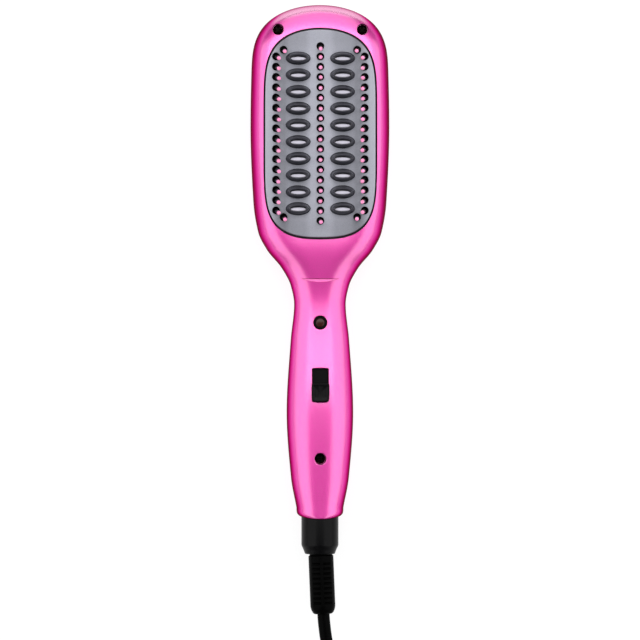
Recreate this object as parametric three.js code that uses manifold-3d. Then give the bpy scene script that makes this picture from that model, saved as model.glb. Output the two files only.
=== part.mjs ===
import * as THREE from 'three';
import { mergeVertices } from 'three/addons/utils/BufferGeometryUtils.js';
import Module from 'manifold-3d';

const wasm = await Module();
wasm.setup();

// A hair straightening brush that lies on its back, bristles up.
// Lengths are in millimetres. X is across, Y runs along the brush with the crown of the
// head at +Y and the cord at -Y, and Z is up. A station is a distance from the crown.

// Housing, seen from the front
const bodyLength = 267.4;
const headWidth = 72.2;
const crownTaper = 3.0;
const shoulderTaper = 3.0;
const neckWidth = 26.8;
const gripWidth = 34.6;
const headWidestAt = 63.4;
const shoulderAt = 102.4;
const neckAt = 155.5;
const gripWidestAt = 211.6;
const crownRound = 36.4;
const gripEndRound = 6.2;

// Housing, seen from the side
const rearDepth = 13.35;
const restCut = 0.35;
const headRise = 12.0;
const headSideLean = 2.0;
const neckRise = 9.8;
const neckDepth = 11.0;
const gripRise = 13.0;
const wall = 2.2;
const clearance = 0.3;

// Heated plate in its window
const crownBorder = 12.3;
const sideBorder = 6.6;
const windowLength = 109.6;
const plateGap = 0.8;
const plateThickness = 2.4;
const lipStep = 0.7;
const ovalCount = 10;
const ovalEndMargin = 15.83;
const ovalLength = 12.2;
const ovalWidth = 6.2;
const ovalHeight = 7.2;
const pinHoleDiameter = 3.9;
const pinDiameter = 2.0;
const pinHeight = 10.6;
const pinEndMargin = 9.58;
const centrePins = 18;
const sidePins = 16;
const sidePinInset = 5.9;
const cornerPinInset = 9.8;
const cornerPinStep = 3.45;
const stripThickness = 1.6;
const centreStripWidth = 5.8;
const sideStripWidth = 4.8;

// Heater and its clamp under the plate
const heaterThickness = 3.5;
const heaterSideGap = 1.6;
const heaterEndGap = 16.3;
const clampThickness = 1.3;
const clampScrewInset = 9.1;
const clampScrewFromPin = 5.4;
const frameThickness = 1.6;
const frameLedge = 2.6;
const shieldHeight = 8.0;

// Screws
const recessDiameter = 6.1;
const screwHeadDiameter = 5.2;
const screwShankDiameter = 2.8;
const screwReach = 7.0;
const headScrewBearing = 48.5;
const headScrewInset = 6.6;
const gripScrewFromEnd = 31.7;

// Controls on the grip
const ledFromEnd = 102.3;
const ledHoleDiameter = 7.2;
const crescentToNeck = 12.3;
const crescentLength = 19.8;
const crescentWidth = 1.9;
const crescentDepth = 1.0;
const switchFromEnd = 70.0;
const slotWidth = 8.6;
const slotLength = 17.2;
const switchTravel = 8.0;
const knobOverlap = 0.35;
const knobHeight = 2.4;
const boardLength = 67.0;
const boardFromEnd = 106.4;
const boardThickness = 1.6;

// Swivel at the cord's end
const collarDiameter = 19.3;
const collarReach = 18.0;
const turnGap = 0.35;
const bootDiameter = 13.0;
const bootLength = 31.2;
const bootLean = 2.3;
const bootRibs = 9;
const bootPivotDepth = 11.6;
const bootTipWall = 1.5;

// Mains lead
const leadDiameter = 6.4;
const leadLength = 1800;
const hankTurns = 4;
const hankPitch = 7.4;
const hankWaist = 9.0;
const hankFoldRadius = 19.4;
const hankLayerStep = 7.0;

const degrees = Math.PI / 180;
const parting = rearDepth - restCut;
const crownWidth = headWidth - crownTaper;
const shoulderWidth = headWidth - shoulderTaper;
const crescentAt = neckAt - crescentToNeck;
const gripScrewAt = bodyLength - gripScrewFromEnd;
const ledAt = bodyLength - ledFromEnd;
const switchAt = bodyLength - switchFromEnd;
const boardStart = bodyLength - boardFromEnd;

// Room that a cutting shape has beyond the brush on every side, and how far shapes that
// are joined run into each other.
const clearAbove = parting + 2 * (headRise + pinHeight);
const clearWidth = 2 * headWidth;
const clearLength = 2 * bodyLength;
const weld = 0.5;

const collarRadius = collarDiameter / 2;
const boreRadius = collarRadius + turnGap;
const endWall = 1.6;
const endFlare = 0.6;
const gripEndRise = boreRadius + endWall;
const gripEndWidth = 2 * (boreRadius + endWall + endFlare);
const plateCentreAt = crownBorder + windowLength / 2;
const heaterLength = windowLength - 2 * heaterEndGap;
const ovalPitch = (windowLength - 2 * ovalEndMargin) / (ovalCount - 1);
const pinPitch = (windowLength - 2 * pinEndMargin) / (centrePins - 1);
const windowHalfWidth = headWidth / 2 - sideBorder;
const plateHalfWidth = windowHalfWidth - plateGap;
const collarEndAt = bodyLength + collarReach;
const bootPivotAt = collarEndAt - bootPivotDepth;
const bootTipRadius = leadDiameter / 2 + bootTipWall;
const bootEndAt = bootPivotAt
  + (collarEndAt - bootPivotAt + bootLength) * Math.cos(bootLean * degrees)
  + bootTipRadius * Math.sin(bootLean * degrees);
const yAt = (station) => bootEndAt / 2 - station;

// Shape helpers

// A smooth curve through [place, value] pairs that never overshoots them.
function smoothThrough(pairs) {
  const places = pairs.map((pair) => pair[0]);
  const values = pairs.map((pair) => pair[1]);
  const last = places.length - 1;
  const secants = [];
  for (let i = 0; i < last; i += 1) {
    secants.push((values[i + 1] - values[i]) / (places[i + 1] - places[i]));
  }
  const slopes = places.map((_, i) => {
    const before = secants[Math.max(i - 1, 0)];
    const after = secants[Math.min(i, last - 1)];
    return before * after <= 0 ? 0 : 2 / (1 / before + 1 / after);
  });
  return (place) => {
    const x = Math.min(Math.max(place, places[0]), places[last]);
    let i = 0;
    while (i < last - 1 && x > places[i + 1]) {
      i += 1;
    }
    const span = places[i + 1] - places[i];
    const u = (x - places[i]) / span;
    const v = 1 - u;
    return values[i] * (1 + 2 * u) * v * v + slopes[i] * span * u * v * v
      + values[i + 1] * u * u * (3 - 2 * u) - slopes[i + 1] * span * u * u * v;
  };
}

// Turns a closed three.js geometry into a solid with its faces outwards.
function solid(geometry) {
  const bare = geometry.clone();
  bare.deleteAttribute('normal');
  bare.deleteAttribute('uv');
  const merged = mergeVertices(bare, 1e-4);
  const points = merged.attributes.position.array;
  const index = merged.index.array;
  const corners = [];
  let volume = 0;
  for (let i = 0; i < index.length; i += 3) {
    const [a, b, c] = [index[i], index[i + 1], index[i + 2]];
    if (a !== b && b !== c && c !== a) {
      corners.push(a, b, c);
      const [p, q, r] = [a, b, c].map((n) => new THREE.Vector3().fromArray(points, n * 3));
      volume += p.dot(q.cross(r));
    }
  }
  if (volume < 0) {
    corners.reverse();
  }
  return new wasm.Manifold(new wasm.Mesh({
    numProp: 3,
    vertProperties: new Float32Array(points),
    triVerts: new Uint32Array(corners),
  }));
}

function geometryOf(body) {
  const mesh = body.getMesh();
  const geometry = new THREE.BufferGeometry();
  geometry.setAttribute('position', new THREE.BufferAttribute(mesh.vertProperties, 3));
  geometry.setIndex(new THREE.BufferAttribute(mesh.triVerts, 1));
  return geometry;
}

const joined = (bodies) => bodies.reduce((sum, body) => sum.add(body));
const without = (body, cutters) => cutters.reduce((rest, cutter) => rest.subtract(cutter), body);

// A box from its centre in x and station, its two sides and its lowest and highest z.
function block(x, station, width, length, low, high) {
  const geometry = new THREE.BoxGeometry(width, length, high - low);
  return solid(geometry.translate(x, yAt(station), (low + high) / 2));
}

// An upright round post.
function post(x, station, radius, low, high, sides = 12) {
  const geometry = new THREE.CylinderGeometry(radius, radius, high - low, sides);
  return solid(geometry.rotateX(90 * degrees).translate(x, yAt(station), (low + high) / 2));
}

// A flat outline raised from one height to another.
function prism(outline, low, high, holes = []) {
  const shape = new THREE.Shape(outline);
  shape.holes = holes.map((hole) => new THREE.Path(hole));
  const geometry = new THREE.ExtrudeGeometry(shape, { depth: high - low, bevelEnabled: false });
  return solid(geometry.translate(0, 0, low));
}

// A turned part about the brush's own axis, from [radius, station] pairs.
function turned(profile, sides) {
  const points = profile.map(([radius, station]) => new THREE.Vector2(radius, yAt(station)));
  return solid(new THREE.LatheGeometry(points, sides).translate(0, 0, parting));
}

// A closed stack of level rings, each a function of the turn angle that gives a point.
function stacked(rings, sides) {
  const positions = [];
  const index = [];
  rings.forEach((ring) => {
    for (let i = 0; i < sides; i += 1) {
      positions.push(...ring((i / sides) * 360 * degrees));
    }
  });
  for (let level = 0; level < rings.length - 1; level += 1) {
    for (let i = 0; i < sides; i += 1) {
      const next = (i + 1) % sides;
      const [a, b] = [level * sides + i, level * sides + next];
      index.push(a, b, b + sides, a, b + sides, a + sides);
    }
  }
  const top = (rings.length - 1) * sides;
  for (let i = 1; i < sides - 1; i += 1) {
    index.push(0, i + 1, i);
    index.push(top, top + i, top + i + 1);
  }
  const geometry = new THREE.BufferGeometry();
  geometry.setAttribute('position', new THREE.Float32BufferAttribute(positions, 3));
  geometry.setIndex(index);
  return solid(geometry);
}

// Moves each point of a closed outline along its own normal; a positive distance is outwards.
function offsetOutline(outline, distance) {
  const count = outline.length;
  return outline.map((point, i) => {
    const before = outline[(i + count - 1) % count];
    const after = outline[(i + 1) % count];
    const along = after.clone().sub(before).normalize();
    return new THREE.Vector2(point.x + along.y * distance, point.y - along.x * distance);
  });
}

// Housing

const throatShares = [[0, 1], [0.294, 0.882], [0.471, 0.663], [0.648, 0.304], [0.823, 0.08]];
const gripStartShare = [0.333, 0.458];
const gripTaperShare = [0.688, 0.554];
const between = (from, to, share) => from + (to - from) * share;
const gripTaperEnd = bodyLength - gripEndRound;

const halfWidthAt = smoothThrough([
  [0, crownWidth / 2],
  [headWidestAt, headWidth / 2],
  ...throatShares.map(([way, share]) => [
    between(shoulderAt, neckAt, way),
    between(neckWidth, shoulderWidth, share) / 2,
  ]),
  [neckAt, neckWidth / 2],
  [between(neckAt, gripWidestAt, gripStartShare[0]),
    between(neckWidth, gripWidth, gripStartShare[1]) / 2],
  [gripWidestAt, gripWidth / 2],
  [between(gripWidestAt, gripTaperEnd, gripTaperShare[0]),
    between(gripEndWidth, gripWidth, gripTaperShare[1]) / 2],
  [gripTaperEnd, gripEndWidth / 2],
]);

const headFlatMargin = 1.5;
const headFlatEnd = crownBorder + windowLength + headFlatMargin;
const sideProfile = (head, neck, grip, end) => smoothThrough([
  [0, head], [headFlatEnd, head], [neckAt, neck], [gripWidestAt, grip], [bodyLength, end],
]);
const riseAt = sideProfile(headRise, neckRise, gripRise, gripEndRise);
const depthAt = sideProfile(rearDepth, neckDepth, rearDepth, gripEndRise);
const throatSquareness = [[-0.7, 12], [-0.15, 7.5], [0.3, 4.2], [0.65, 2.8], [1, 2.2]];
const frontSquareness = smoothThrough([
  [0, 12],
  ...throatSquareness.map(([way, square]) => [between(headFlatEnd, neckAt, way), square]),
  [gripWidestAt, 2.4],
  [bodyLength, 2.6],
]);
const rearSquareness = sideProfile(3.6, 2.6, 2.4, 2.6);
const sideLean = sideProfile(headSideLean, 0, 0, 0);
const frontSkin = (station) => parting + riseAt(station);

const crownSquareness = 3.3;
const crownTipSquareness = 4.2;
const gripEndPlanSquareness = 4.0;
const crownSpineAt = 30.0;
const gripEdgeRound = 1.2;
const gripEdgeSquareness = 4;

// The crown's curve, from its tip at angle 0 to the sides at 90 degrees.
function crownPoint(angle) {
  const station = crownRound * (1 - Math.cos(angle) ** (2 / crownSquareness));
  return new THREE.Vector2(halfWidthAt(station) * Math.sin(angle), station);
}

// The curve of the grip's end, from the sides at angle 0 to its tip at 90 degrees.
function gripEndPoint(angle) {
  const station = bodyLength - gripEndRound * (1 - Math.sin(angle) ** (2 / gripEndPlanSquareness));
  return new THREE.Vector2(halfWidthAt(station) * Math.cos(angle), station);
}

// Half of the plan outline, from the crown's tip to the tip of the grip, as x and station.
function outlineSide(steps) {
  const side = [];
  for (let i = 0; i < steps.crown; i += 1) {
    side.push(crownPoint((i / steps.crown) * 90 * degrees));
  }
  const straight = bodyLength - crownRound - gripEndRound;
  for (let i = 0; i < steps.body; i += 1) {
    const station = crownRound + (straight * i) / steps.body;
    side.push(new THREE.Vector2(halfWidthAt(station), station));
  }
  for (let i = 0; i <= steps.end; i += 1) {
    side.push(gripEndPoint((i / steps.end) * 90 * degrees));
  }
  side[side.length - 1].x = 0;
  return side;
}

// The housing's full closed form, or the same form drawn in by an even distance.
// Each rim point is joined to the spine by a rounded rib above and below the parting. The
// head's upper sides lean inwards, and the crown's upper edge is rounder than they are.
function housingForm(inset, steps) {
  const side = outlineSide(steps);
  const mirrored = side.slice(1, -1).reverse().map((point) => new THREE.Vector2(-point.x, point.y));
  const rim = offsetOutline([...side, ...mirrored], -inset);
  const positions = [];
  const index = [];
  const layers = 2 * steps.ribs;
  rim.forEach((point) => {
    const spine = Math.max(point.y, crownSpineAt);
    const past = Math.min(Math.max((point.y + inset - bodyLength) / gripEdgeRound + 1, 0), 1);
    const ending = (1 - past ** gripEdgeSquareness) ** (1 / gripEdgeSquareness);
    const toTip = Math.max(crownSpineAt - point.y, 0) / crownSpineAt;
    const front = between(frontSquareness(spine), crownTipSquareness, toTip);
    const ribLength = Math.max(Math.hypot(point.x, point.y - spine), wall);
    const lean = (sideLean(spine) * (1 - toTip)) / ribLength;
    for (let j = 0; j <= layers; j += 1) {
      const above = j <= steps.ribs;
      const turn = ((above ? j : layers - j) / steps.ribs) * 90 * degrees;
      const squareness = above ? front : rearSquareness(spine);
      const leant = above ? 1 - lean * Math.cos(turn) : 1;
      const power = 2 / squareness;
      const reach = j === 0 || j === layers ? 0 : leant * Math.sin(turn) ** power;
      const most = ending * (above ? riseAt(spine) - inset : inset - depthAt(spine));
      const height = Math.cos(turn) * most;
      positions.push(point.x * reach, yAt(between(spine, point.y, reach)), parting + height);
    }
  });
  for (let i = 0; i < rim.length; i += 1) {
    for (let j = 0; j < layers; j += 1) {
      const a = i * (layers + 1) + j;
      const b = ((i + 1) % rim.length) * (layers + 1) + j;
      index.push(a, b, b + 1, a, b + 1, a + 1);
    }
  }
  const geometry = new THREE.BufferGeometry();
  geometry.setAttribute('position', new THREE.Float32BufferAttribute(positions, 3));
  geometry.setIndex(index);
  return solid(geometry);
}

const outerForm = housingForm(0, { crown: 9, body: 24, end: 4, ribs: 5 });
const cavityForm = housingForm(wall, { crown: 6, body: 16, end: 2, ribs: 4 });
const upperHalf = block(0, bodyLength / 2, clearWidth, clearLength, parting + clearance / 2, clearAbove);
const lowerHalf = block(0, bodyLength / 2, clearWidth, clearLength, 0, parting - clearance / 2);
const aboveFloor = block(0, bodyLength / 2, clearWidth, clearLength, 0, clearAbove);

const plateEndSquareness = 5.5;
const plateCrownSquareness = 2.05;
const plateNeckSquareness = 2.7;

// The plate's outline: a long rounded form, rounder towards the crown.
function plateOutline(offset, count = 48) {
  const outline = [];
  for (let i = 0; i < count; i += 1) {
    const angle = (i / count) * 360 * degrees;
    const along = Math.sign(Math.sin(angle)) * Math.abs(Math.sin(angle)) ** (2 / plateEndSquareness);
    const roundness = Math.sin(angle) > 0 ? plateCrownSquareness : plateNeckSquareness;
    const across = Math.sign(Math.cos(angle)) * Math.abs(Math.cos(angle)) ** (2 / roundness);
    const y = yAt(plateCentreAt) + (along * windowLength) / 2;
    outline.push(new THREE.Vector2(across * windowHalfWidth, y));
  }
  return offsetOutline(outline, -offset);
}

// Screws and their recesses

const recessFloor = parting + 2.4;
const floorThickness = 1.9;
const recessRadius = recessDiameter / 2;
const recessWall = 1.2;
const bossWall = 1.9;
const shankRadius = screwShankDiameter / 2;
const bossBoreRadius = shankRadius + clearance;
const bossBoreFloor = parting - screwReach - 1.0;

const bearing = headScrewBearing * degrees;
const rimPoint = crownPoint(bearing);
const rimAlong = crownPoint(bearing + 0.01).sub(crownPoint(bearing - 0.01)).normalize();
const headScrewX = rimPoint.x - rimAlong.y * headScrewInset;
const headScrewAt = rimPoint.y + rimAlong.x * headScrewInset;
const screwPlaces = [
  ['head_screw_left', -headScrewX, headScrewAt],
  ['head_screw_right', headScrewX, headScrewAt],
  ['grip_screw', 0, gripScrewAt],
];

const screwHeadHeight = 2.2;
const crossShare = 0.62;
const crossWidth = 0.8;
const crossDepth = 1.2;

function screw(x, station) {
  const low = recessFloor + clearance;
  const high = low + screwHeadHeight;
  const head = post(x, station, screwHeadDiameter / 2, low, high);
  const shank = post(x, station, shankRadius, parting - screwReach, low + weld, 8);
  const crossLength = screwHeadDiameter * crossShare;
  const cross = [[crossLength, crossWidth], [crossWidth, crossLength]].map(([width, length]) => (
    block(x, station, width, length, high - crossDepth, high + weld)));
  return without(head.add(shank), cross);
}

// Where the shells hold the swivel

const collarInsertion = 5.4;
const ribThickness = 2.4;
const collarShoulder = 1.0;
const collarStartAt = bodyLength - collarInsertion;
const ribStartAt = collarStartAt - ribThickness - collarShoulder;
const ribEndAt = ribStartAt + ribThickness;
const journalRadius = 5.0;
const shaftRadius = 3.2;
const shaftLength = 15.0;
const flangeRadius = 7.2;
const flangeGap = 0.5;

function swivelSeat() {
  const seatLength = bodyLength - ribStartAt + weld;
  const middle = ribStartAt + seatLength / 2;
  return block(0, middle, clearWidth, seatLength, 0, clearAbove).intersect(outerForm);
}

function swivelBores() {
  const journalBoreRadius = journalRadius + turnGap;
  const beyond = 5.0;
  const collarBore = turned([
    [0, ribEndAt], [boreRadius, ribEndAt],
    [boreRadius, bodyLength + beyond], [0, bodyLength + beyond],
  ], 20);
  const journalBore = turned([
    [0, ribStartAt - beyond], [journalBoreRadius, ribStartAt - beyond],
    [journalBoreRadius, ribEndAt + weld], [0, ribEndAt + weld],
  ], 16);
  return collarBore.add(journalBore);
}

// Switch stack in the grip, from the skin downwards

const slotCover = 1.2;
const flangeDrop = 0.8;
const flangeThickness = 1.2;
const leverHeight = 1.0;
const boardLift = 0.6;
const boardSideGap = 2.7;
const flangeLength = slotLength + switchTravel + 2 * slotCover;
const slotEnds = [switchAt - slotLength / 2, switchAt + slotLength / 2];
const knobBase = Math.max(...slotEnds.map(frontSkin)) + clearance;
const knobLength = slotLength - switchTravel + knobOverlap;
const knobWidth = slotWidth + 2 * knobOverlap;
const knobRestAt = switchAt + switchTravel / 2;
const boardTop = parting + boardLift;
const boardWidth = neckWidth - 2 * wall - 2 * boardSideGap;
const flangeEnds = [-1, 1].map((way) => switchAt + way * (flangeLength + switchTravel) / 2);
const flangeTop = Math.min(...flangeEnds.map(frontSkin)) - wall - flangeDrop;
const switchTop = flangeTop - flangeThickness - leverHeight - 2 * clearance;
const windowCutFrom = parting + 2.0;

// A crescent groove that follows the skin.
function crescentCutter() {
  const radius = (crescentLength ** 2 / 4 + crescentWidth ** 2) / (2 * crescentWidth);
  const half = Math.asin(crescentLength / 2 / radius);
  const outline = [];
  const steps = 10;
  for (let i = 0; i <= steps; i += 1) {
    const angle = -half + (2 * half * i) / steps;
    const drop = radius * Math.cos(angle) - radius * Math.cos(half);
    const y = yAt(crescentAt) + crescentWidth / 2 - drop;
    outline.push(new THREE.Vector2(radius * Math.sin(angle), y));
  }
  const column = prism(outline, windowCutFrom, clearAbove);
  return column.subtract(housingForm(crescentDepth, { crown: 4, body: 24, end: 2, ribs: 5 }));
}

function frontShell() {
  const tubes = screwPlaces.map(([, x, station]) => (
    post(x, station, recessRadius + recessWall, recessFloor - floorThickness, clearAbove, 14)
      .intersect(outerForm)));
  const shell = joined([
    outerForm.subtract(cavityForm),
    swivelSeat(),
    ...tubes,
  ]).intersect(upperHalf);
  return without(shell, [
    prism(plateOutline(0), windowCutFrom, clearAbove),
    ...screwPlaces.map(([, x, station]) => (
      post(x, station, recessRadius, recessFloor, clearAbove, 14))),
    ...screwPlaces.map(([, x, station]) => post(x, station, bossBoreRadius, 0, clearAbove, 8)),
    post(0, ledAt, ledHoleDiameter / 2, windowCutFrom, clearAbove, 16),
    block(0, switchAt, slotWidth, slotLength, windowCutFrom, clearAbove),
    crescentCutter(),
    swivelBores(),
  ]);
}

// Posts that stand in the rear shell: screw bosses, and rests for the parts inside.

const plateTop = parting + headRise - lipStep;
const plateBottom = plateTop - plateThickness;
const frameTop = plateBottom - clearance;
const frameBottom = frameTop - frameThickness;
const frameRestRadius = 1.6;
const frameRestX = plateHalfWidth - frameLedge + frameRestRadius;
const frameRestStep = 26.0;
const frameRests = [-1, 1].flatMap((side) => [-1, 1].map((way) => [
  side * frameRestX, plateCentreAt + way * frameRestStep, frameRestRadius, frameBottom - clearance,
]));
const shieldRestStep = 27.0;
const shieldRestRadius = 2.5;
const shieldRests = [-1, 1].map((way) => [
  0, plateCentreAt + way * shieldRestStep, shieldRestRadius, shieldHeight - clearance,
]);
const boardBottom = boardTop - boardThickness;
const boardRestInset = 10.0;
const boardRestRadius = 2.2;
const boardRests = [boardRestInset, boardLength - boardRestInset].map((step) => [
  0, boardStart + step, boardRestRadius, boardBottom - clearance,
]);
const contactBlockX = 7.4;
const contactRestRadius = 1.4;
const contactRestTop = parting - 5.3;
const ringStep = 5.0;
const firstRingAt = ribStartAt - 7.0;
const ringPlaces = [['live', 1, firstRingAt - ringStep], ['neutral', -1, firstRingAt]];
const contactRests = ringPlaces.map(([, side, station]) => [
  side * contactBlockX, station, contactRestRadius, contactRestTop,
]);

function rearShell() {
  const rests = [...frameRests, ...shieldRests, ...boardRests, ...contactRests];
  const posts = rests.map(([x, station, radius, high]) => post(x, station, radius, 0, high, 10));
  const bosses = screwPlaces.map(([, x, station]) => (
    post(x, station, bossBoreRadius + bossWall, 0, recessFloor - floorThickness - clearance, 12)));
  const shell = outerForm.subtract(cavityForm).add(swivelSeat()).intersect(lowerHalf);
  const inside = joined([...posts, ...bosses]).intersect(outerForm).intersect(aboveFloor);
  return without(shell.add(inside), [
    ...screwPlaces.map(([, x, station]) => post(x, station, bossBoreRadius, bossBoreFloor, clearAbove, 8)),
    swivelBores(),
  ]);
}

// Heated plate, bristles and what presses them together

const heaterTop = plateBottom - clearance;
const heaterBottom = heaterTop - heaterThickness;
const clampTop = heaterBottom - clearance;
const clampBottom = clampTop - clampThickness;
const sidePinX = plateHalfWidth - sidePinInset;
const cornerPinX = plateHalfWidth - cornerPinInset;
const ovalX = sidePinX / 2;
const heaterX = ovalX;
const heaterWidth = 2 * (heaterX - centreStripWidth / 2 - heaterSideGap);
const clampScrewStep = windowLength / 2 - clampScrewInset;
const clampScrewX = cornerPinX - clampScrewFromPin;
const clampScrewPlaces = [1, -1].flatMap((way) => [-1, 1].map((side) => [
  side * clampScrewX, plateCentreAt - way * clampScrewStep,
]));
const clampBossRadius = 2.4;
const clampBoreRadius = 1.2;
const clampShankRadius = 0.85;
const clampHeadRadius = 2.2;
const clampHeadHeight = 1.3;
const clampScrewStop = plateBottom - 1.0;

const rowPlaces = (count, pitch) => Array.from({ length: count }, (_, i) => (
  plateCentreAt + (i - (count - 1) / 2) * pitch));

// How far the pins' tips lean across and towards the cord, in each row.
const leftLean = [1.5, 1.1];
const rightLean = [-1.3, 0.7];
const centreDrop = 0.4;
const firstPinDrop = 1.5;
const cornerLeanShare = 0.4;

// Each pin as x, station, and how far its tip leans across and towards the cord.
function pinRow(side) {
  if (side === 0) {
    return rowPlaces(centrePins, pinPitch).map((station, i) => (
      [0, station, 0, i === 0 ? firstPinDrop : centreDrop]));
  }
  const column = rowPlaces(sidePins, pinPitch);
  const [lean, drop] = side < 0 ? leftLean : rightLean;
  return [
    [side * cornerPinX, column[0] - cornerPinStep, lean * cornerLeanShare, drop],
    ...column.map((station) => [side * sidePinX, station, lean, drop]),
    [side * cornerPinX, column[sidePins - 1] + cornerPinStep, lean * cornerLeanShare, drop],
  ];
}

const toothTaper = 0.9;
const toothWall = 0.7;
const toothSplay = 0.4;
const toothDish = 3.2;

// One hollow oval tooth with a dished floor, standing on the plate.
function ovalTooth(x, station) {
  const [across, along] = [ovalLength / 2, ovalWidth / 2];
  const rim = [across - toothTaper, along - toothTaper];
  const mouth = rim.map((half) => half - toothWall);
  const levels = [
    [across, along, -clearance],
    [...rim, ovalHeight],
    [...mouth, ovalHeight],
    [...mouth.map((half) => half - toothSplay), ovalHeight - toothDish],
  ];
  return stacked(levels.map(([halfAcross, halfAlong, height]) => (angle) => [
    x + halfAcross * Math.cos(angle),
    yAt(station) + halfAlong * Math.sin(angle),
    plateTop + height,
  ]), 12);
}

const plateEdge = 0.6;

function heaterPlate() {
  const shape = new THREE.Shape(plateOutline(plateGap));
  const slab = solid(new THREE.ExtrudeGeometry(shape, {
    depth: plateThickness - 2 * plateEdge,
    bevelThickness: plateEdge,
    bevelSize: plateEdge,
    bevelOffset: -plateEdge,
    bevelSegments: 1,
  }).translate(0, 0, plateBottom + plateEdge));
  const teeth = rowPlaces(ovalCount, ovalPitch)
    .flatMap((station) => [-ovalX, ovalX].map((x) => ovalTooth(x, station)));
  const bosses = clampScrewPlaces.map(([x, station]) => (
    post(x, station, clampBossRadius, clampTop + clearance, plateBottom + weld, 10)));
  const holes = [-1, 0, 1].flatMap(pinRow).map(([x, station]) => (
    post(x, station, pinHoleDiameter / 2, plateBottom - weld, plateTop + weld, 6)));
  const bores = clampScrewPlaces.map(([x, station]) => (
    post(x, station, clampBoreRadius, clampTop - weld, clampScrewStop + clearance, 6)));
  return without(joined([slab, ...teeth, ...bosses]), [...holes, ...bores]);
}

const pinTipLength = 0.9;
const pinLeanStart = 0.2;

// A row of bristle pins moulded on its backing strip.
function bristleStrip(side) {
  const row = pinRow(side);
  const last = row.length - 1;
  const baseTop = heaterBottom + stripThickness;
  const half = (side === 0 ? centreStripWidth : sideStripWidth) / 2;
  const path = (side === 0 ? [0, last] : [0, 1, last - 1, last]).map((i) => row[i]);
  const strips = path.slice(1).map(([x, station], i) => {
    const from = new THREE.Vector2(path[i][0], yAt(path[i][1]));
    const to = new THREE.Vector2(x, yAt(station));
    const along = to.clone().sub(from).normalize().multiplyScalar(half);
    const outward = new THREE.Vector2(-along.y, along.x);
    return prism([
      from.clone().sub(along).sub(outward), to.clone().add(along).sub(outward),
      to.clone().add(along).add(outward), from.clone().sub(along).add(outward),
    ], heaterBottom, baseTop);
  });
  const tip = plateTop + pinHeight;
  const radius = pinDiameter / 2;
  const levels = [[1.1, baseTop - weld], [0.95, tip - pinTipLength], [0.5, tip]];
  const pins = row.map(([x, station, lean, drop]) => (
    stacked(levels.map(([share, height]) => (angle) => {
      const up = (height - baseTop) / (tip - baseTop);
      const bend = (up - pinLeanStart) / (1 - pinLeanStart);
      return [
        x + lean * bend + radius * share * Math.cos(angle),
        yAt(station + drop * bend) + radius * share * Math.sin(angle),
        height,
      ];
    }), 6)));
  return joined([...strips, ...pins]);
}

const frameOverhang = 3.4;

// The insulating frame under the window's lip, which carries the plate's edge.
function plateFrame() {
  const opening = plateOutline(plateGap + frameLedge);
  const ring = prism(plateOutline(-frameOverhang), frameBottom, frameTop, [opening]);
  const room = housingForm(wall + clearance, { crown: 6, body: 16, end: 2, ribs: 4 });
  const tubes = screwPlaces.slice(0, 2).map(([, x, station]) => (
    post(x, station, recessRadius + recessWall + clearance, 0, clearAbove, 14)));
  const notches = [-1, 1].flatMap(pinRow).map(([x, station]) => (
    post(x, station, pinHoleDiameter / 2, 0, clearAbove, 8)));
  return without(ring.intersect(room), [...tubes, ...notches]);
}

const tabWidth = 3.0;
const tabThickness = 0.8;
const tabLength = 1.9;
const tabDrop = 2.6;
const tabTop = heaterBottom + 1.2;
const tabBendAt = plateCentreAt + heaterLength / 2 + tabLength;

function ptcHeater(side) {
  const x = side * heaterX;
  const tabStart = tabBendAt - tabLength - weld;
  const tabEnd = tabBendAt + tabThickness / 2;
  return joined([
    block(x, plateCentreAt, heaterWidth, heaterLength, heaterBottom, heaterTop),
    block(x, (tabStart + tabEnd) / 2, tabWidth, tabEnd - tabStart, heaterBottom, tabTop),
    block(x, tabBendAt, tabWidth, tabThickness, clampBottom - tabDrop, tabTop),
  ]);
}

const clampInset = 0.6;
const clampHoleGap = 0.45;

function heaterClamp() {
  const plate = prism(plateOutline(plateGap + frameLedge + clampInset, 32), clampBottom, clampTop);
  const tabRoom = 2 * (clearance + 0.2);
  return without(plate, [
    ...clampScrewPlaces.map(([x, station]) => (
      post(x, station, clampShankRadius + clampHoleGap, 0, clearAbove, 8))),
    ...[-1, 1].map((side) => (
      block(side * heaterX, tabBendAt, tabWidth + tabRoom, tabThickness + tabRoom, 0, clearAbove))),
  ]);
}

function clampScrew(x, station) {
  const headTop = clampBottom - clearance;
  const head = post(x, station, clampHeadRadius, headTop - clampHeadHeight, headTop, 10);
  return head.add(post(x, station, clampShankRadius, headTop - weld, clampScrewStop, 6));
}

const padThickness = 2.0;
const padInset = 2.0;
const padMargin = 0.5;
const shieldThickness = 0.6;
const shieldInset = 5.0;

const insulationPad = () => prism(
  plateOutline(plateGap + frameLedge + padInset, 24),
  clampBottom - clearance - padThickness,
  clampBottom - clearance,
).intersect(block(0, plateCentreAt, clearWidth, heaterLength + 2 * padMargin, 0, clearAbove));

const heatShield = () => prism(
  plateOutline(plateGap + shieldInset, 24), shieldHeight, shieldHeight + shieldThickness);

// A round part that lies along the brush, or across it.
function lyingRod(x, station, z, radius, length, across, sides = 10) {
  const geometry = new THREE.CylinderGeometry(radius, radius, length, sides);
  if (across) {
    geometry.rotateZ(90 * degrees);
  }
  return solid(geometry.translate(x, yAt(station), z));
}

// A temperature sensor held under the clamp, between the two heater tabs.
const sensorAt = tabBendAt + 6.5;
const thermalFuse = { x: -2.3, radius: 1.7, length: 7.0 };
const thermistor = { x: 3.9, radius: 1.3, length: 3.4 };
const sensor = ({ x, radius, length }) => lyingRod(
  x, sensorAt, clampBottom - clearance - radius, radius, length, true, 8);

// Controls and board

function controlBoard() {
  const middle = boardStart + boardLength / 2;
  return block(0, middle, boardWidth, boardLength, boardBottom, boardTop);
}

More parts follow.
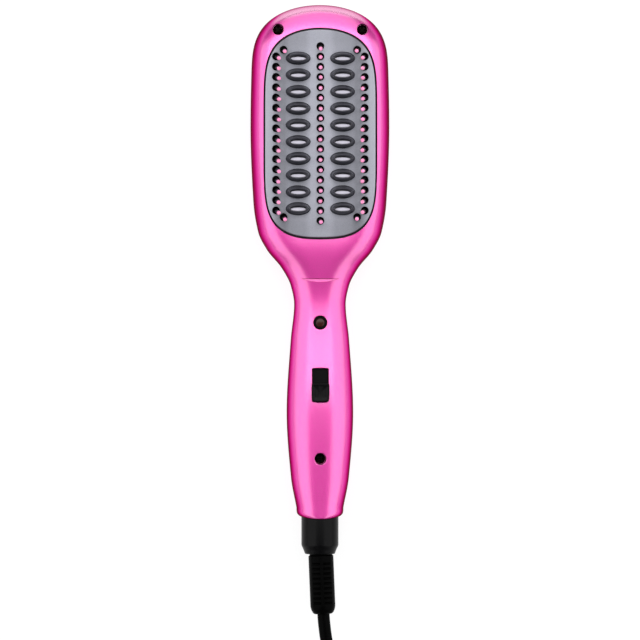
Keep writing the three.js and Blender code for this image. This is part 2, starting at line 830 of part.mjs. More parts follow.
const partLift = boardTop + clearance;
const componentGap = 2.0;
const underFlange = flangeTop - flangeThickness - 3 * clearance - partLift;
const filmCapacitor = { width: 11.0, length: 9.0, height: underFlange };
const triac = { x: -3.6, width: 4.4, length: 9.0, height: underFlange };
const dropper = { x: 4.2, radius: 1.8, length: 8.5 };
const terminal = { width: 10.0, length: 6.0, height: 6.0 };
const slideSwitchWidth = 8.0;
const slideSwitchLength = slotLength + 2.0;
const capacitorAt = switchAt - (slideSwitchLength + filmCapacitor.length) / 2 - 2 * componentGap;
const behindSwitchAt = switchAt + (slideSwitchLength + triac.length) / 2 + componentGap / 2;
const terminalAt = boardStart + boardLength - terminal.length;

const boardPart = (x, station, { width, length, height }) => (
  block(x, station, width, length, partLift, partLift + height));
const dropperResistor = () => lyingRod(
  dropper.x, behindSwitchAt, partLift + dropper.radius, dropper.radius, dropper.length, false);
const slideSwitch = () => block(
  0, switchAt, slideSwitchWidth, slideSwitchLength, partLift, switchTop);

const lampRadius = 1.5;
const lampDrop = 4.2;
const lensRim = 1.0;
const lensRimThickness = 1.2;
const lensSkinGap = 1.0;
const lensSink = 0.9;
const lensGap = clearance + 0.05;

function ledLamp() {
  const top = frontSkin(ledAt) - wall - lampDrop;
  const lamp = post(0, ledAt, lampRadius, partLift, top, 8);
  const dome = new THREE.SphereGeometry(lampRadius, 8, 4).rotateX(90 * degrees);
  return lamp.add(solid(dome.translate(0, yAt(ledAt), top)));
}

function ledWindow() {
  const skin = frontSkin(ledAt);
  const rimTop = skin - wall - lensSkinGap;
  const radius = ledHoleDiameter / 2;
  const lens = post(0, ledAt, radius - lensGap, rimTop - weld, skin - lensSink, 16);
  return lens.add(post(0, ledAt, radius + lensRim, rimTop - lensRimThickness, rimTop, 16));
}

const lever = { width: 5.0, length: 3.6 };
const stub = { width: 2.4, length: 2.0 };
const stubGap = 0.4;

function switchLever() {
  const low = switchTop + clearance;
  const high = low + leverHeight;
  const base = block(0, knobRestAt, lever.width, lever.length, low, high);
  return base.add(block(
    0, knobRestAt, stub.width, stub.length, high - weld, high + flangeThickness - stubGap));
}

const knobCorner = 1.1;
const knobFrontCorner = 0.4;
const grooveStep = 1.6;
const grooveWidth = 0.7;
const grooveDepth = 0.5;
const grooveMargin = 1.2;

function knobCap() {
  const high = knobBase + knobHeight;
  const [x, y] = [knobWidth / 2, knobLength / 2];
  const cut = knobCorner * 0.3;
  const outline = [
    [-x, y - knobFrontCorner], [-x + knobFrontCorner, y],
    [x - knobFrontCorner, y], [x, y - knobFrontCorner],
    [x, -y + knobCorner], [x - cut, -y + cut], [x - knobCorner, -y],
    [-x + knobCorner, -y], [-x + cut, -y + cut], [-x, -y + knobCorner],
  ].map(([a, b]) => new THREE.Vector2(a, b + yAt(knobRestAt)));
  const grooves = [-1, 0, 1].map((step) => block(
    0, knobRestAt + step * grooveStep, knobWidth - 2 * grooveMargin, grooveWidth,
    high - grooveDepth, high + weld));
  return without(prism(outline, knobBase, high), grooves);
}

function switchKnob() {
  const stemLength = slotLength - switchTravel - 2 * clearance;
  const stemWidth = slotWidth - 2 * clearance;
  const flangeWidth = slotWidth + 2 * slotCover;
  const flangeLow = flangeTop - flangeThickness;
  const pocketTop = flangeTop - (flangeThickness - stubGap) / 4;
  const stem = block(0, knobRestAt, stemWidth, stemLength, flangeTop - weld, knobBase + weld);
  const flange = block(0, knobRestAt, flangeWidth, flangeLength, flangeLow, flangeTop);
  const pocket = block(
    0, knobRestAt, stub.width + 2 * stubGap, stub.length + 2 * stubGap, flangeLow - weld, pocketTop);
  return joined([knobCap(), stem, flange]).subtract(pocket);
}

// Swivel joint

const chamferLength = 4.6;
const chamferBreak = 2.6;
const chamferInset = [1.2, 1.9];
const socketDepth = 4.0;
const shoulderBreak = 0.4;

function swivelCollar() {
  const chamferAt = collarEndAt - chamferLength;
  const socketRadius = bootDiameter / 2 + clearance;
  const socketAt = collarEndAt - socketDepth;
  const shaftEndAt = ribStartAt - shaftLength;
  const flangeAt = ribStartAt - flangeGap;
  const shoulderAtRib = ribEndAt + flangeGap;
  return turned([
    [0, shaftEndAt], [shaftRadius, shaftEndAt], [shaftRadius, flangeAt - ribThickness],
    [flangeRadius, flangeAt - ribThickness], [flangeRadius, flangeAt],
    [journalRadius, flangeAt], [journalRadius, shoulderAtRib],
    [collarRadius - shoulderBreak, shoulderAtRib], [collarRadius, shoulderAtRib + shoulderBreak],
    [collarRadius, chamferAt], [collarRadius - chamferInset[0], chamferAt + chamferBreak],
    [collarRadius - chamferInset[1], collarEndAt], [socketRadius, collarEndAt],
    [socketRadius, socketAt], [0, socketAt],
  ], 18);
}

const ringOuter = 4.5;
const ringWidth = 2.4;
const ringBoreGap = clearance + 0.1;
const springLength = 12.8;
const springWidth = 2.0;
const springThickness = 0.5;
const contactBlockWidth = 3.0;
const contactBlockLength = 4.0;
const springBottom = parting + ringOuter + clearance;

function slipRing(station) {
  const [inner, half] = [shaftRadius + ringBoreGap, ringWidth / 2];
  return turned([
    [inner, station - half], [ringOuter, station - half], [ringOuter, station + half],
    [inner, station + half], [inner, station - half],
  ], 16);
}

const contactSpring = (side, station) => block(
  side * (contactBlockX + contactBlockWidth / 2 - springLength / 2 + clearance / 2),
  station, springLength, springWidth, springBottom, springBottom + springThickness);

const contactBlock = (side, station) => block(
  side * contactBlockX, station, contactBlockWidth, contactBlockLength,
  contactRestTop + clearance, springBottom - clearance);

const bootNeckInset = 0.6;
const bootInsert = 3.4;
const bootRootGap = 0.6;
const bootTaperLength = 4.0;
const bootRibSpine = 1.7;
const bootSlotDepth = 2.3;
const bootSlotWidth = 1.25;
const bootSlotPitch = 2.55;
const bootFirstSlot = 5.0;

// The boot leans a little, as the lead's weight draws it. It is turned upright in y, with
// slots cut into its front and back, and then leans about a point inside the collar.
function strainRelief() {
  const radius = bootDiameter / 2;
  const root = bootPivotDepth;
  const end = root + bootLength;
  const neck = radius - bootNeckInset;
  const taper = (share) => end - bootTaperLength * (1 - share);
  const profile = [
    [0, root - bootInsert], [neck, root - bootInsert], [neck, root + bootRootGap],
    [radius, root + bootRootGap * 1.5], [radius, taper(0)], [radius - 0.35, taper(0.4)],
    [radius - 1.1, taper(0.8)], [bootTipRadius - 0.2, end], [0, end],
  ];
  const points = profile.map(([across, at]) => new THREE.Vector2(across, -at));
  const body = solid(new THREE.LatheGeometry(points, 18));
  const slots = [];
  for (let i = 0; i < bootRibs; i += 1) {
    [-1, 1].forEach((front) => [-1, 1].forEach((side) => {
      const slot = new THREE.BoxGeometry(radius, bootSlotWidth, bootSlotDepth * 2);
      const x = side * (radius / 2 + bootRibSpine / 2);
      const y = -(root + bootFirstSlot + i * bootSlotPitch);
      slots.push(solid(slot.translate(x, y, front * radius)));
    }));
  }
  const boot = geometryOf(without(body, slots)).rotateZ(bootLean * degrees);
  return solid(boot.translate(0, yAt(bootPivotAt), parting));
}

// Wires inside, each along its own route of x, station and z

const wireRadius = 0.8;

function tube(curve, radius, sides, steps) {
  const section = new THREE.Shape(Array.from({ length: sides }, (_, i) => new THREE.Vector2(
    radius * Math.cos((i / sides) * 360 * degrees),
    radius * Math.sin((i / sides) * 360 * degrees),
  )));
  return solid(new THREE.ExtrudeGeometry(section, { steps, extrudePath: curve }));
}

function wire(places) {
  const points = places.map(([x, station, z]) => new THREE.Vector3(x, yAt(station), z));
  return tube(new THREE.CatmullRomCurve3(points, false, 'centripetal'), wireRadius, 6, 11);
}

function heaterWire(side) {
  const start = tabBendAt + tabThickness / 2 + clearance + 0.2;
  const z = clampBottom - tabDrop + wireRadius;
  const besideScrew = clampScrewX - clampHeadRadius - clearance - wireRadius;
  return wire([
    [side * heaterX, start, z], [side * (heaterX - 0.3), start + 1.6, z],
    [side * besideScrew, start + 4, z], [side * besideScrew, start + 8, z],
    [side * 5.6, boardStart - 13.5, z],
    [side * 5.0, boardStart + 2, partLift + clearance + wireRadius],
  ]);
}

function supplyWire(side, ringAt) {
  const z = springBottom + springThickness + clearance + wireRadius;
  return wire([
    [side * 7.6, ringAt, z], [side * 7.6, ringAt - 5, z], [side * 7.4, gripScrewAt, parting + 4],
    [side * 5.4, terminalAt + 9, partLift + 2.6],
    [side * 2.6, terminalAt + terminal.length / 2 + wireRadius + clearance, partLift + 2.4],
  ]);
}

// Mains lead: a free stretch, a hank in line with the brush, and a tail to the plug

const millimetres = (points) => points.map(([x, y, z]) => new THREE.Vector3(x, y, z));

const freeStretch = millimetres([
  [1.9, -159.2, 13.0], [2.5, -165.6, 12.8], [3.3, -171.3, 12.4], [4.6, -177.0, 11.6],
  [6.4, -182.6, 10.5], [8.4, -188.3, 9.2], [10.6, -194.0, 7.8], [12.8, -199.7, 6.4],
  [15.0, -205.4, 5.2], [17.1, -211.1, 4.2], [18.9, -216.8, 3.5], [20.3, -222.6, 3.3],
  [21.3, -228.3, 3.3], [21.7, -234.0, 3.3], [21.8, -240.5, 3.3],
]);

const hankCentreX = -12.4;
const hankTop = -240.8;
const hankLow = leadDiameter / 2 + 0.1;
const foldOuter = hankFoldRadius + (hankPitch * hankTurns) / 2;
const tieLift = 1.8;

// A hank of long loops: it spirals in on the lower layer, climbs along a run, and spirals
// out on the upper layer. One loop is 4 steps of run, 8 of fold, 4 of run and 8 of fold.
class HankCurve extends THREE.Curve {
  constructor(run) {
    super();
    this.run = run;
  }

  getUtoTmapping(share) {
    return share;
  }

  getPoint(share, target = new THREE.Vector3()) {
    const loops = share * hankTurns;
    const turnsIn = hankTurns / 2;
    const radius = hankFoldRadius + hankPitch * Math.abs(loops - turnsIn);
    const climb = Math.min(Math.max((loops - turnsIn) * 6, 0), 1);
    const layer = hankLow + hankLayerStep * climb * climb * (3 - 2 * climb);
    const place = (loops % 1) * 6;
    const side = place < 1 || place >= 5.999 ? 1 : -1;
    const onFold = (place >= 1 && place < 3) || place >= 4;
    if (onFold) {
      const bottom = place < 3;
      const angle = (bottom ? -(place - 1) : 2 - (place - 4)) * 90 * degrees;
      return target.set(
        hankCentreX + radius * Math.cos(angle),
        hankTop - (bottom ? this.run : 0) + radius * Math.sin(angle),
        layer,
      );
    }
    const down = place < 1 ? place : 4 - place;
    const waist = (1 - Math.cos(down * 360 * degrees)) / 2;
    return target.set(
      hankCentreX + side * (radius - hankWaist * waist),
      hankTop - down * this.run,
      layer + tieLift * waist,
    );
  }
}

const plugTail = millimetres([
  [21.8, -241.2, 10.2], [21.8, -246.5, 10.2], [22.5, -251.6, 10.0], [24.1, -256.6, 9.3],
  [26.1, -261.4, 8.5], [28.2, -266.2, 7.7], [30.0, -271.2, 7.0], [31.4, -276.4, 6.7],
  [32.3, -281.8, 6.8], [32.6, -287.4, 7.1], [32.6, -293.6, 7.3],
]);

const polylineLength = (points) => points.slice(1).reduce((sum, point, i) => (
  sum + point.distanceTo(points[i])), 0);

const climbAllowance = 1.6;

// The runs take the length that the free ends and the folds leave of the whole lead.
const looseLength = polylineLength(freeStretch) + polylineLength(plugTail);
const meanFold = (foldOuter + hankFoldRadius) / 2;
const hankRun = ((leadLength - looseLength) / hankTurns - 2 * Math.PI * meanFold) / 2 - climbAllowance;
const hankCurve = new HankCurve(hankRun);
const hankSteps = 24 * hankTurns;

function leastHankGap() {
  const points = hankCurve.getPoints(hankSteps * 8);
  const nearTurn = 8 * 12;
  let least = Infinity;
  points.forEach((point, i) => points.slice(i + nearTurn).forEach((other) => {
    least = Math.min(least, point.distanceTo(other));
  }));
  return least - leadDiameter;
}

const tieGap = clearance + 0.15;
const tieBand = 1.2;
const tieWidth = 10.0;
const tieCorner = 1.8;

function hankTie() {
  const across = foldOuter - hankWaist + leadDiameter / 2 + tieGap;
  const low = hankLow + tieLift - leadDiameter / 2 - tieGap;
  const high = hankLow + tieLift + hankLayerStep + leadDiameter / 2 + tieGap;
  const loop = (grow) => {
    const [x, bottom, top] = [across + grow, low - grow, high + grow];
    return [
      [-x, bottom + tieCorner], [-x + tieCorner, bottom],
      [x - tieCorner, bottom], [x, bottom + tieCorner],
      [x, top - tieCorner], [x - tieCorner, top], [-x + tieCorner, top], [-x, top - tieCorner],
    ].map(([a, b]) => new THREE.Vector2(a, b));
  };
  const shape = new THREE.Shape(loop(tieBand));
  shape.holes = [new THREE.Path(loop(0))];
  const geometry = new THREE.ExtrudeGeometry(shape, { depth: tieWidth, bevelEnabled: false });
  geometry.rotateX(90 * degrees);
  return solid(geometry.translate(hankCentreX, hankTop - hankRun / 2 + tieWidth / 2, 0));
}

const plugStart = plugTail[plugTail.length - 1].clone().setY(
  plugTail[plugTail.length - 1].y - clearance - 0.1);
const plugLength = 35.0;
const blade = { spacing: 12.7, thickness: 1.5, height: 6.35, length: 16.5 };

function plugBody() {
  const sections = [
    [4.6, 4.6, 0], [5.2, 5.2, 9], [9.0, 6.2, 14],
    [12.4, 7.0, 20], [12.9, 7.0, plugLength - 2], [11.9, 6.2, plugLength],
  ];
  return stacked(sections.map(([x, z, along]) => (angle) => {
    const squash = (value) => Math.sign(value) * Math.abs(value) ** 0.6;
    return [
      plugStart.x + x * squash(Math.cos(angle)),
      plugStart.y - along,
      plugStart.z + z * squash(Math.sin(angle)),
    ];
  }), 12);
}

function plugBlade(side) {
  const geometry = new THREE.BoxGeometry(blade.thickness, blade.length, blade.height);
  const x = plugStart.x + (side * blade.spacing) / 2;
  const y = plugStart.y - plugLength - clearance - 0.1 - blade.length / 2;
  return solid(geometry.translate(x, y, plugStart.z));
}

// The assembly

const finishes = {
  pinkPaint: { color: 0xe84fb0, roughness: 0.32, metalness: 0.5 },
  plateCoat: { color: 0x9a9ca4, roughness: 0.38, metalness: 0.6 },
  bristlePink: { color: 0xf08fc0, roughness: 0.5, metalness: 0 },
  blackPlastic: { color: 0x161618, roughness: 0.4, metalness: 0 },
  blackRubber: { color: 0x111112, roughness: 0.6, metalness: 0 },
  steel: { color: 0x8f9296, roughness: 0.35, metalness: 1 },
  darkSteel: { color: 0x24221f, roughness: 0.4, metalness: 1 },
  brass: { color: 0xb89a58, roughness: 0.3, metalness: 1 },
  ceramic: { color: 0xe6e2d8, roughness: 0.7, metalness: 0 },
  mica: { color: 0xc9bf9c, roughness: 0.8, metalness: 0 },
  boardGreen: { color: 0x1f5a38, roughness: 0.5, metalness: 0 },
  smokedLens: { color: 0x3a1412, roughness: 0.15, metalness: 0 },
  redWire: { color: 0x8c2a22, roughness: 0.5, metalness: 0 },
  whiteWire: { color: 0xd8d6d0, roughness: 0.5, metalness: 0 },
};

const brush = new THREE.Group();

function add(name, body, finish) {
  const mesh = new THREE.Mesh(geometryOf(body), new THREE.MeshStandardMaterial(finishes[finish]));
  mesh.name = name;
  brush.add(mesh);
}

add('front_shell', frontShell(), 'pinkPaint');
add('rear_shell', rearShell(), 'pinkPaint');
add('heater_plate', heaterPlate(), 'plateCoat');
add('plate_frame', plateFrame(), 'blackPlastic');
add('bristle_strip_left', bristleStrip(-1), 'bristlePink');
add('bristle_strip_centre', bristleStrip(0), 'bristlePink');
add('bristle_strip_right', bristleStrip(1), 'bristlePink');
add('ptc_heater_left', ptcHeater(-1), 'ceramic');
add('ptc_heater_right', ptcHeater(1), 'ceramic');
add('heater_clamp', heaterClamp(), 'steel');
clampScrewPlaces.forEach(([x, station], i) => (
  add(`clamp_screw_${i + 1}`, clampScrew(x, station), 'steel')));
add('insulation_pad', insulationPad(), 'mica');
add('heat_shield', heatShield(), 'steel');
add('thermal_fuse', sensor(thermalFuse), 'steel');
add('thermistor', sensor(thermistor), 'ceramic');
add('control_board', controlBoard(), 'boardGreen');
add('triac', boardPart(triac.x, behindSwitchAt, triac), 'blackPlastic');
add('film_capacitor', boardPart(0, capacitorAt, filmCapacitor), 'blackPlastic');
add('dropper_resistor', dropperResistor(), 'ceramic');
add('terminal_block', boardPart(0, terminalAt, terminal), 'whiteWire');
add('led_lamp', ledLamp(), 'smokedLens');
add('led_window', ledWindow(), 'smokedLens');
add('slide_switch', slideSwitch(), 'blackPlastic');
add('switch_lever', switchLever(), 'blackPlastic');
add('switch_knob', switchKnob(), 'blackPlastic');
screwPlaces.forEach(([name, x, station]) => add(name, screw(x, station), 'darkSteel'));
add('swivel_collar', swivelCollar(), 'blackPlastic');
ringPlaces.forEach(([name, side, station]) => {
  add(`slip_ring_${name}`, slipRing(station), 'brass');
  add(`contact_spring_${name}`, contactSpring(side, station), 'brass');
  add(`contact_block_${name}`, contactBlock(side, station), 'whiteWire');
});
add('strain_relief', strainRelief(), 'blackRubber');
add('heater_wire_left', heaterWire(-1), 'redWire');
add('heater_wire_right', heaterWire(1), 'whiteWire');
ringPlaces.forEach(([name, side, station]) => (
  add(`supply_wire_${name}`, supplyWire(side, station), side > 0 ? 'redWire' : 'whiteWire')));
add('mains_lead', tube(new THREE.CatmullRomCurve3(freeStretch), leadDiameter / 2, 8, 24), 'blackRubber');
add('lead_hank', tube(hankCurve, leadDiameter / 2, 6, hankSteps), 'blackRubber');
add('plug_lead', tube(new THREE.CatmullRomCurve3(plugTail), leadDiameter / 2, 8, 20), 'blackRubber');
add('hank_tie', hankTie(), 'blackRubber');
add('plug_body', plugBody(), 'blackPlastic');
add('plug_blade_left', plugBlade(-1), 'brass');
add('plug_blade_right', plugBlade(1), 'brass');

console.log(`least gap of the hank to itself: ${leastHankGap().toFixed(2)} mm`);

export default brush;
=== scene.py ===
import math

import bmesh
import bpy
import numpy as np
from mathutils import Matrix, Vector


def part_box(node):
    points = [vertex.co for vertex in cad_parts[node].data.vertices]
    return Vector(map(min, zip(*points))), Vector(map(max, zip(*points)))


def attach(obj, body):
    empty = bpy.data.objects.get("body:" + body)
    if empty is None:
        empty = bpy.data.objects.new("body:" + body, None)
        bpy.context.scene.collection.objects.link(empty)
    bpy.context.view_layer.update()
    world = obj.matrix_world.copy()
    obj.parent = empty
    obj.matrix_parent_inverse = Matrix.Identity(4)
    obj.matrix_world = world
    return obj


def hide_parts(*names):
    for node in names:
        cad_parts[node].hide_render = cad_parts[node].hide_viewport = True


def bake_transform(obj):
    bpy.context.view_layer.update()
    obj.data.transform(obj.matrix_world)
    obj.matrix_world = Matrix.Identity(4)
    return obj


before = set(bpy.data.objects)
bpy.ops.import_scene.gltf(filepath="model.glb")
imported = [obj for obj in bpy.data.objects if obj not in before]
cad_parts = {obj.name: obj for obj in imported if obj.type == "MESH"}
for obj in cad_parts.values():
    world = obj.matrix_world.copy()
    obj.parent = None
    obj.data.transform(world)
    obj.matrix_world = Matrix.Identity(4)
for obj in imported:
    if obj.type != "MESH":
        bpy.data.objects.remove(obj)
bpy.context.view_layer.update()
scene = bpy.context.scene
mm = 0.001  # shapes are worked out in millimetres and put into meshes in metres
print("frame loaded with", len(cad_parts), "nodes")

# The brush lies on its back, bristles up: x across, y towards the crown, z up.
# A station is a distance from the crown's tip towards the cord.
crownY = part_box("front_shell")[1].y / mm + 0.01


def yAt(station):
    return crownY - station


# Camera

view = {
    "distance": 3000,  # mm from the brush
    "lens": 324.5,  # mm on a 36 mm sensor
    "aim": (0.05, -5.4, 13.0),
    "leanLeft": 1.2,  # degrees
}

lean = math.radians(view["leanLeft"])
camera = bpy.data.objects.new("camera", bpy.data.cameras.new("camera"))
camera.data.lens = view["lens"]
camera.data.sensor_width = 36
camera.location = [
    (aim + view["distance"] * way) * mm
    for aim, way in zip(view["aim"], (-math.sin(lean), 0, math.cos(lean)))
]
camera.rotation_euler = (0, -lean, 0)
scene.collection.objects.link(camera)
scene.camera = camera
scene.view_settings.view_transform = "Standard"
print("camera placed")


# Outlines and curves

square = np.array([(-1, -1), (1, -1), (1, 1), (-1, 1)])


def between(start, end, share):
    return start + (end - start) * share


# Even angles once round a circle.
def around(count):
    return np.arange(count) / count * 2 * np.pi


# Cosine and sine of even turns over a quarter circle.
def quarter(count):
    turn = np.linspace(0, np.pi / 2, count)
    return list(zip(np.cos(turn), np.sin(turn)))


# A value to a power with its sign kept. A sine and cosine so raised give a superellipse.
def signedPower(value, power):
    return np.sign(value) * np.abs(value) ** power


# How far along a line of points each point is.
def distances(line):
    return np.r_[0, np.cumsum(np.linalg.norm(np.diff(line, axis=0), axis=1))]


# A cubic Hermite curve through values at places, with a slope at each place.
def hermite(places, values, slopes, at):
    i = np.clip(np.searchsorted(places, at, side="right") - 1, 0, len(places) - 2)
    span = places[i + 1] - places[i]
    u = (at - places[i]) / span
    v = 1 - u
    return (
        values[i] * (1 + 2 * u) * v * v + slopes[i] * span * u * v * v
        + values[i + 1] * u * u * (3 - 2 * u) - slopes[i + 1] * span * u * u * v
    )


# A smooth curve through places and values that never overshoots: its slopes are the
# harmonic mean of the chords, or zero where they change sign.
def smoothThrough(places, values):
    places, values = np.asarray(places, float), np.asarray(values, float)
    chords = np.diff(values) / np.diff(places)
    before, after = np.r_[chords[0], chords], np.r_[chords, chords[-1]]
    level = before * after <= 0
    product = np.where(level, 1, before * after)
    total = np.where(level, 1, before + after)
    slopes = np.where(level, 0, 2 * product / total)

    def curve(place):
        return hermite(places, values, slopes, np.clip(place, places[0], places[-1]))

    return curve


# A smooth line through points: a cubic whose slope at each point is that of the line
# between its neighbours, by the distance between them.
def smoothLine(points, step):
    reach = distances(points)
    slopes = np.gradient(points, reach, axis=0)
    at = np.linspace(0, reach[-1], int(reach[-1] / step) + 1)
    return np.stack([hermite(reach, *axis, at) for axis in zip(points.T, slopes.T)], 1)


# Points at even steps round a closed outline.
def evenly(loop, count):
    full = np.r_[loop, loop[:1]]
    reach = distances(full)
    steps = np.linspace(0, reach[-1], count, endpoint=False)
    return np.stack([np.interp(steps, reach, axis) for axis in full.T], 1)


# Moves a closed outline in x and y along its own normals: outwards where positive.
def offsetLoop(loop, distance):
    along = np.roll(loop, -1, 0) - np.roll(loop, 1, 0)
    along /= np.linalg.norm(along, axis=1, keepdims=True)
    return loop + distance * np.c_[along[:, 1], -along[:, 0]]


# A circle in x and y about a station.
def circleLoop(x, station, radius, count=48):
    t = around(count)
    return np.c_[x + radius * np.cos(t), yAt(station) + radius * np.sin(t)]


# A rectangle with round corners: half sides plus a quarter circle at each corner.
def roundedLoop(x, station, width, length, corner, perCorner=8):
    t = (np.arange(4 * perCorner) // perCorner) * np.pi / 2
    t = t + np.tile(np.linspace(0, np.pi / 2, perCorner), 4)
    middle = np.repeat(np.arange(4) * np.pi / 2 + np.pi / 4, perCorner)
    across = np.sign(np.cos(middle)) * (width / 2 - corner) + corner * np.cos(t)
    along = np.sign(np.sin(middle)) * (length / 2 - corner) + corner * np.sin(t)
    return np.c_[x + across, yAt(station) + along]


# An open profile whose inner corners become arcs: each corner is replaced by a
# quadratic curve that starts and ends a radius away, or half an edge if that is less.
def rounded(profile, radius, steps=5):
    profile = np.asarray(profile, float)
    corner = profile[1:-1]
    back, ahead = profile[:-2] - corner, profile[2:] - corner
    backLength = np.linalg.norm(back, axis=1, keepdims=True)
    aheadLength = np.linalg.norm(ahead, axis=1, keepdims=True)
    room = np.minimum(radius, 0.49 * np.minimum(backLength, aheadLength))
    start = (corner + back / backLength * room)[:, None]
    end = (corner + ahead / aheadLength * room)[:, None]
    t = np.linspace(0, 1, steps)[None, :, None]
    arcs = (1 - t) ** 2 * start + 2 * t * (1 - t) * corner[:, None] + t * t * end
    return np.r_[profile[:1], arcs.reshape(-1, 2), profile[-1:]]


# Surfaces


# Quads between neighbouring points of a grid of rows and columns.
def gridFaces(rows, columns, closeRows=False, closeColumns=False):
    a, b = np.meshgrid(
        np.arange(rows if closeRows else rows - 1),
        np.arange(columns if closeColumns else columns - 1),
        indexing="ij",
    )
    c, d = (a + 1) % rows, (b + 1) % columns
    corners = [a * columns + b, c * columns + b, c * columns + d, a * columns + d]
    return np.stack(corners, -1).reshape(-1, 4).tolist()


# A stack of closed rings, levels by points by xyz, with a face over each end.
def stack(rings):
    rings = np.asarray(rings)
    levels, count = rings.shape[:2]
    faces = gridFaces(levels, count, closeColumns=True)
    last = (levels - 1) * count
    faces += [list(range(count))[::-1], list(range(last, last + count))]
    return rings.reshape(-1, 3), faces


# An outline in x and y set at a height, or with a height for each of its points.
def atHeight(loop, z):
    return np.c_[loop, z + 0 * loop[:, 0]]


# A prism: an outline carried straight up from one height to another.
def prism(loop, low, high):
    return stack([atHeight(loop, low), atHeight(loop, high)])


# A turned part: radius and height profile spun about an upright axis at x, y.
def turnedUp(profile, x, y, sides=48):
    profile, angle = np.asarray(profile, float), around(sides)
    radius, height = profile[:, :1], profile[:, 1:]
    return stack(np.stack([
        x + radius * np.cos(angle), y + radius * np.sin(angle), height + 0 * angle], -1))


# A turned part about the brush's long axis: radius and station profile.
def turnedAlong(profile, z, sides=96):
    profile, angle = np.asarray(profile, float), around(sides)
    radius, station = profile[:, :1], profile[:, 1:]
    return stack(np.stack([
        radius * np.cos(angle), yAt(station) + 0 * angle, z + radius * np.sin(angle)], -1))


# A round tube along a line of points: at each point a circle across the line, with its
# first spoke level, so that it doesn't twist.
def tubeAlong(line, radius, sides):
    tangent = np.gradient(line, axis=0)
    tangent /= np.linalg.norm(tangent, axis=1, keepdims=True)
    level = np.cross(tangent, (0, 0, 1))
    level /= np.linalg.norm(level, axis=1, keepdims=True)
    upright = np.cross(level, tangent)
    angle = around(sides)[:, None]
    spokes = np.cos(angle) * level[:, None] + np.sin(angle) * upright[:, None]
    return stack(line[:, None] + radius * spokes)


# The same shape set down once at each place: its points plus each place's offset.
def repeated(part, places):
    points, faces = part
    places = np.asarray(places, float)
    shifted = (points[None] + places[:, None]).reshape(-1, 3)
    starts = [i * len(points) for i in range(len(places))]
    return shifted, [[corner + start for corner in face] for start in starts for face in faces]


# Objects


def crisp(mesh, sharpAngle):
    mesh.shade_smooth()
    mesh.set_sharp_from_angle(angle=math.radians(sharpAngle))


# One object out of parts in millimetres. Each part is points, faces and the number of
# its material. Doubles are merged, faces turned outwards and sharp edges kept crisp.
def makeObject(name, parts, sharpAngle=38.0):
    points, faces, finishes = [], [], []
    start = 0
    for part in parts:
        partPoints, partFaces, finish = part if len(part) == 3 else (*part, 0)
        points.append(np.asarray(partPoints, float).reshape(-1, 3))
        faces += [[corner + start for corner in face] for face in partFaces]
        finishes += [finish] * len(partFaces)
        start += len(points[-1])
    mesh = bpy.data.meshes.new(name)
    mesh.from_pydata((np.concatenate(points) * mm).tolist(), [], faces)
    mesh.polygons.foreach_set("material_index", finishes)
    made = bmesh.new()
    made.from_mesh(mesh)
    bmesh.ops.remove_doubles(made, verts=made.verts, dist=0.0004 * mm)
    bmesh.ops.recalc_face_normals(made, faces=made.faces)
    made.to_mesh(mesh)
    made.free()
    crisp(mesh, sharpAngle)
    piece = bpy.data.objects.new(name, mesh)
    scene.collection.objects.link(piece)
    return piece


def cutter(*parts):
    return makeObject("cutter", parts)


# Gives a piece the mesh that its modifiers make, and takes them away.
def applyModifiers(piece):
    graph = bpy.context.evaluated_depsgraph_get()
    mesh = bpy.data.meshes.new_from_object(piece.evaluated_get(graph))
    mesh.name = piece.name
    piece.modifiers.clear()
    piece.data = mesh
    return piece


# Cuts every cutter out of a piece, or joins it on.
def carve(piece, cutters, way="DIFFERENCE", sharpAngle=38.0):
    for tool in cutters:
        modifier = piece.modifiers.new("carve", "BOOLEAN")
        modifier.object = tool
        modifier.operation = way
        modifier.solver = "MANIFOLD"
    applyModifiers(piece)
    for tool in cutters:
        bpy.data.objects.remove(tool)
    crisp(piece.data, sharpAngle)
    return piece


# Turns a piece's normals towards its larger faces, so that flat faces beside rounded
# edges shade flat.
def steady(piece):
    piece.modifiers.new("steady", "WEIGHTED_NORMAL").keep_sharp = True
    return applyModifiers(piece)


# Adds the second object's mesh to the first one's.
def joinInto(piece, extra):
    made = bmesh.new()
    made.from_mesh(piece.data)
    made.from_mesh(extra.data)
    made.to_mesh(piece.data)
    made.free()
    bpy.data.objects.remove(extra)
    crisp(piece.data, 38.0)
    return piece


# Cord: one lead from the strain relief through its hank to the plug

lead = {
    "diameter": 6.4,
    "length": 1800,
    "turns": 4,
    "run": 121.6,  # the straight part of each loop
    "pitch": 7.4,  # between neighbouring loops
    "waist": 9.0,  # how far the tie draws each side in
    "foldRadius": 19.4,  # inner fold
    "aboveFloor": 0.1,
    "layerStep": 7.0,
    "tieLift": 1.8,
    "centreX": -12.4,
    "top": -240.8,
    "sides": 28,
    "step": 2.0,  # along the lead
}
freeStretch = np.array([
    [1.8, -156.0, 13.0], [1.9, -159.2, 13.0], [2.5, -165.6, 12.8], [3.3, -171.3, 12.4],
    [4.6, -177.0, 11.6], [6.4, -182.6, 10.5], [8.4, -188.3, 9.2], [10.6, -194.0, 7.8],
    [12.8, -199.7, 6.4], [15.0, -205.4, 5.2], [17.1, -211.1, 4.2], [18.9, -216.8, 3.5],
    [20.3, -222.6, 3.3], [21.3, -228.3, 3.3], [21.7, -234.0, 3.3],
])
plugTail = np.array([
    [21.8, -246.5, 10.2], [22.5, -251.6, 10.0], [24.1, -256.6, 9.3], [26.1, -261.4, 8.5],
    [28.2, -266.2, 7.7], [30.0, -271.2, 7.0], [31.4, -276.4, 6.7], [32.3, -281.8, 6.8],
    [32.6, -287.4, 7.1], [32.6, -293.6, 7.3],
])


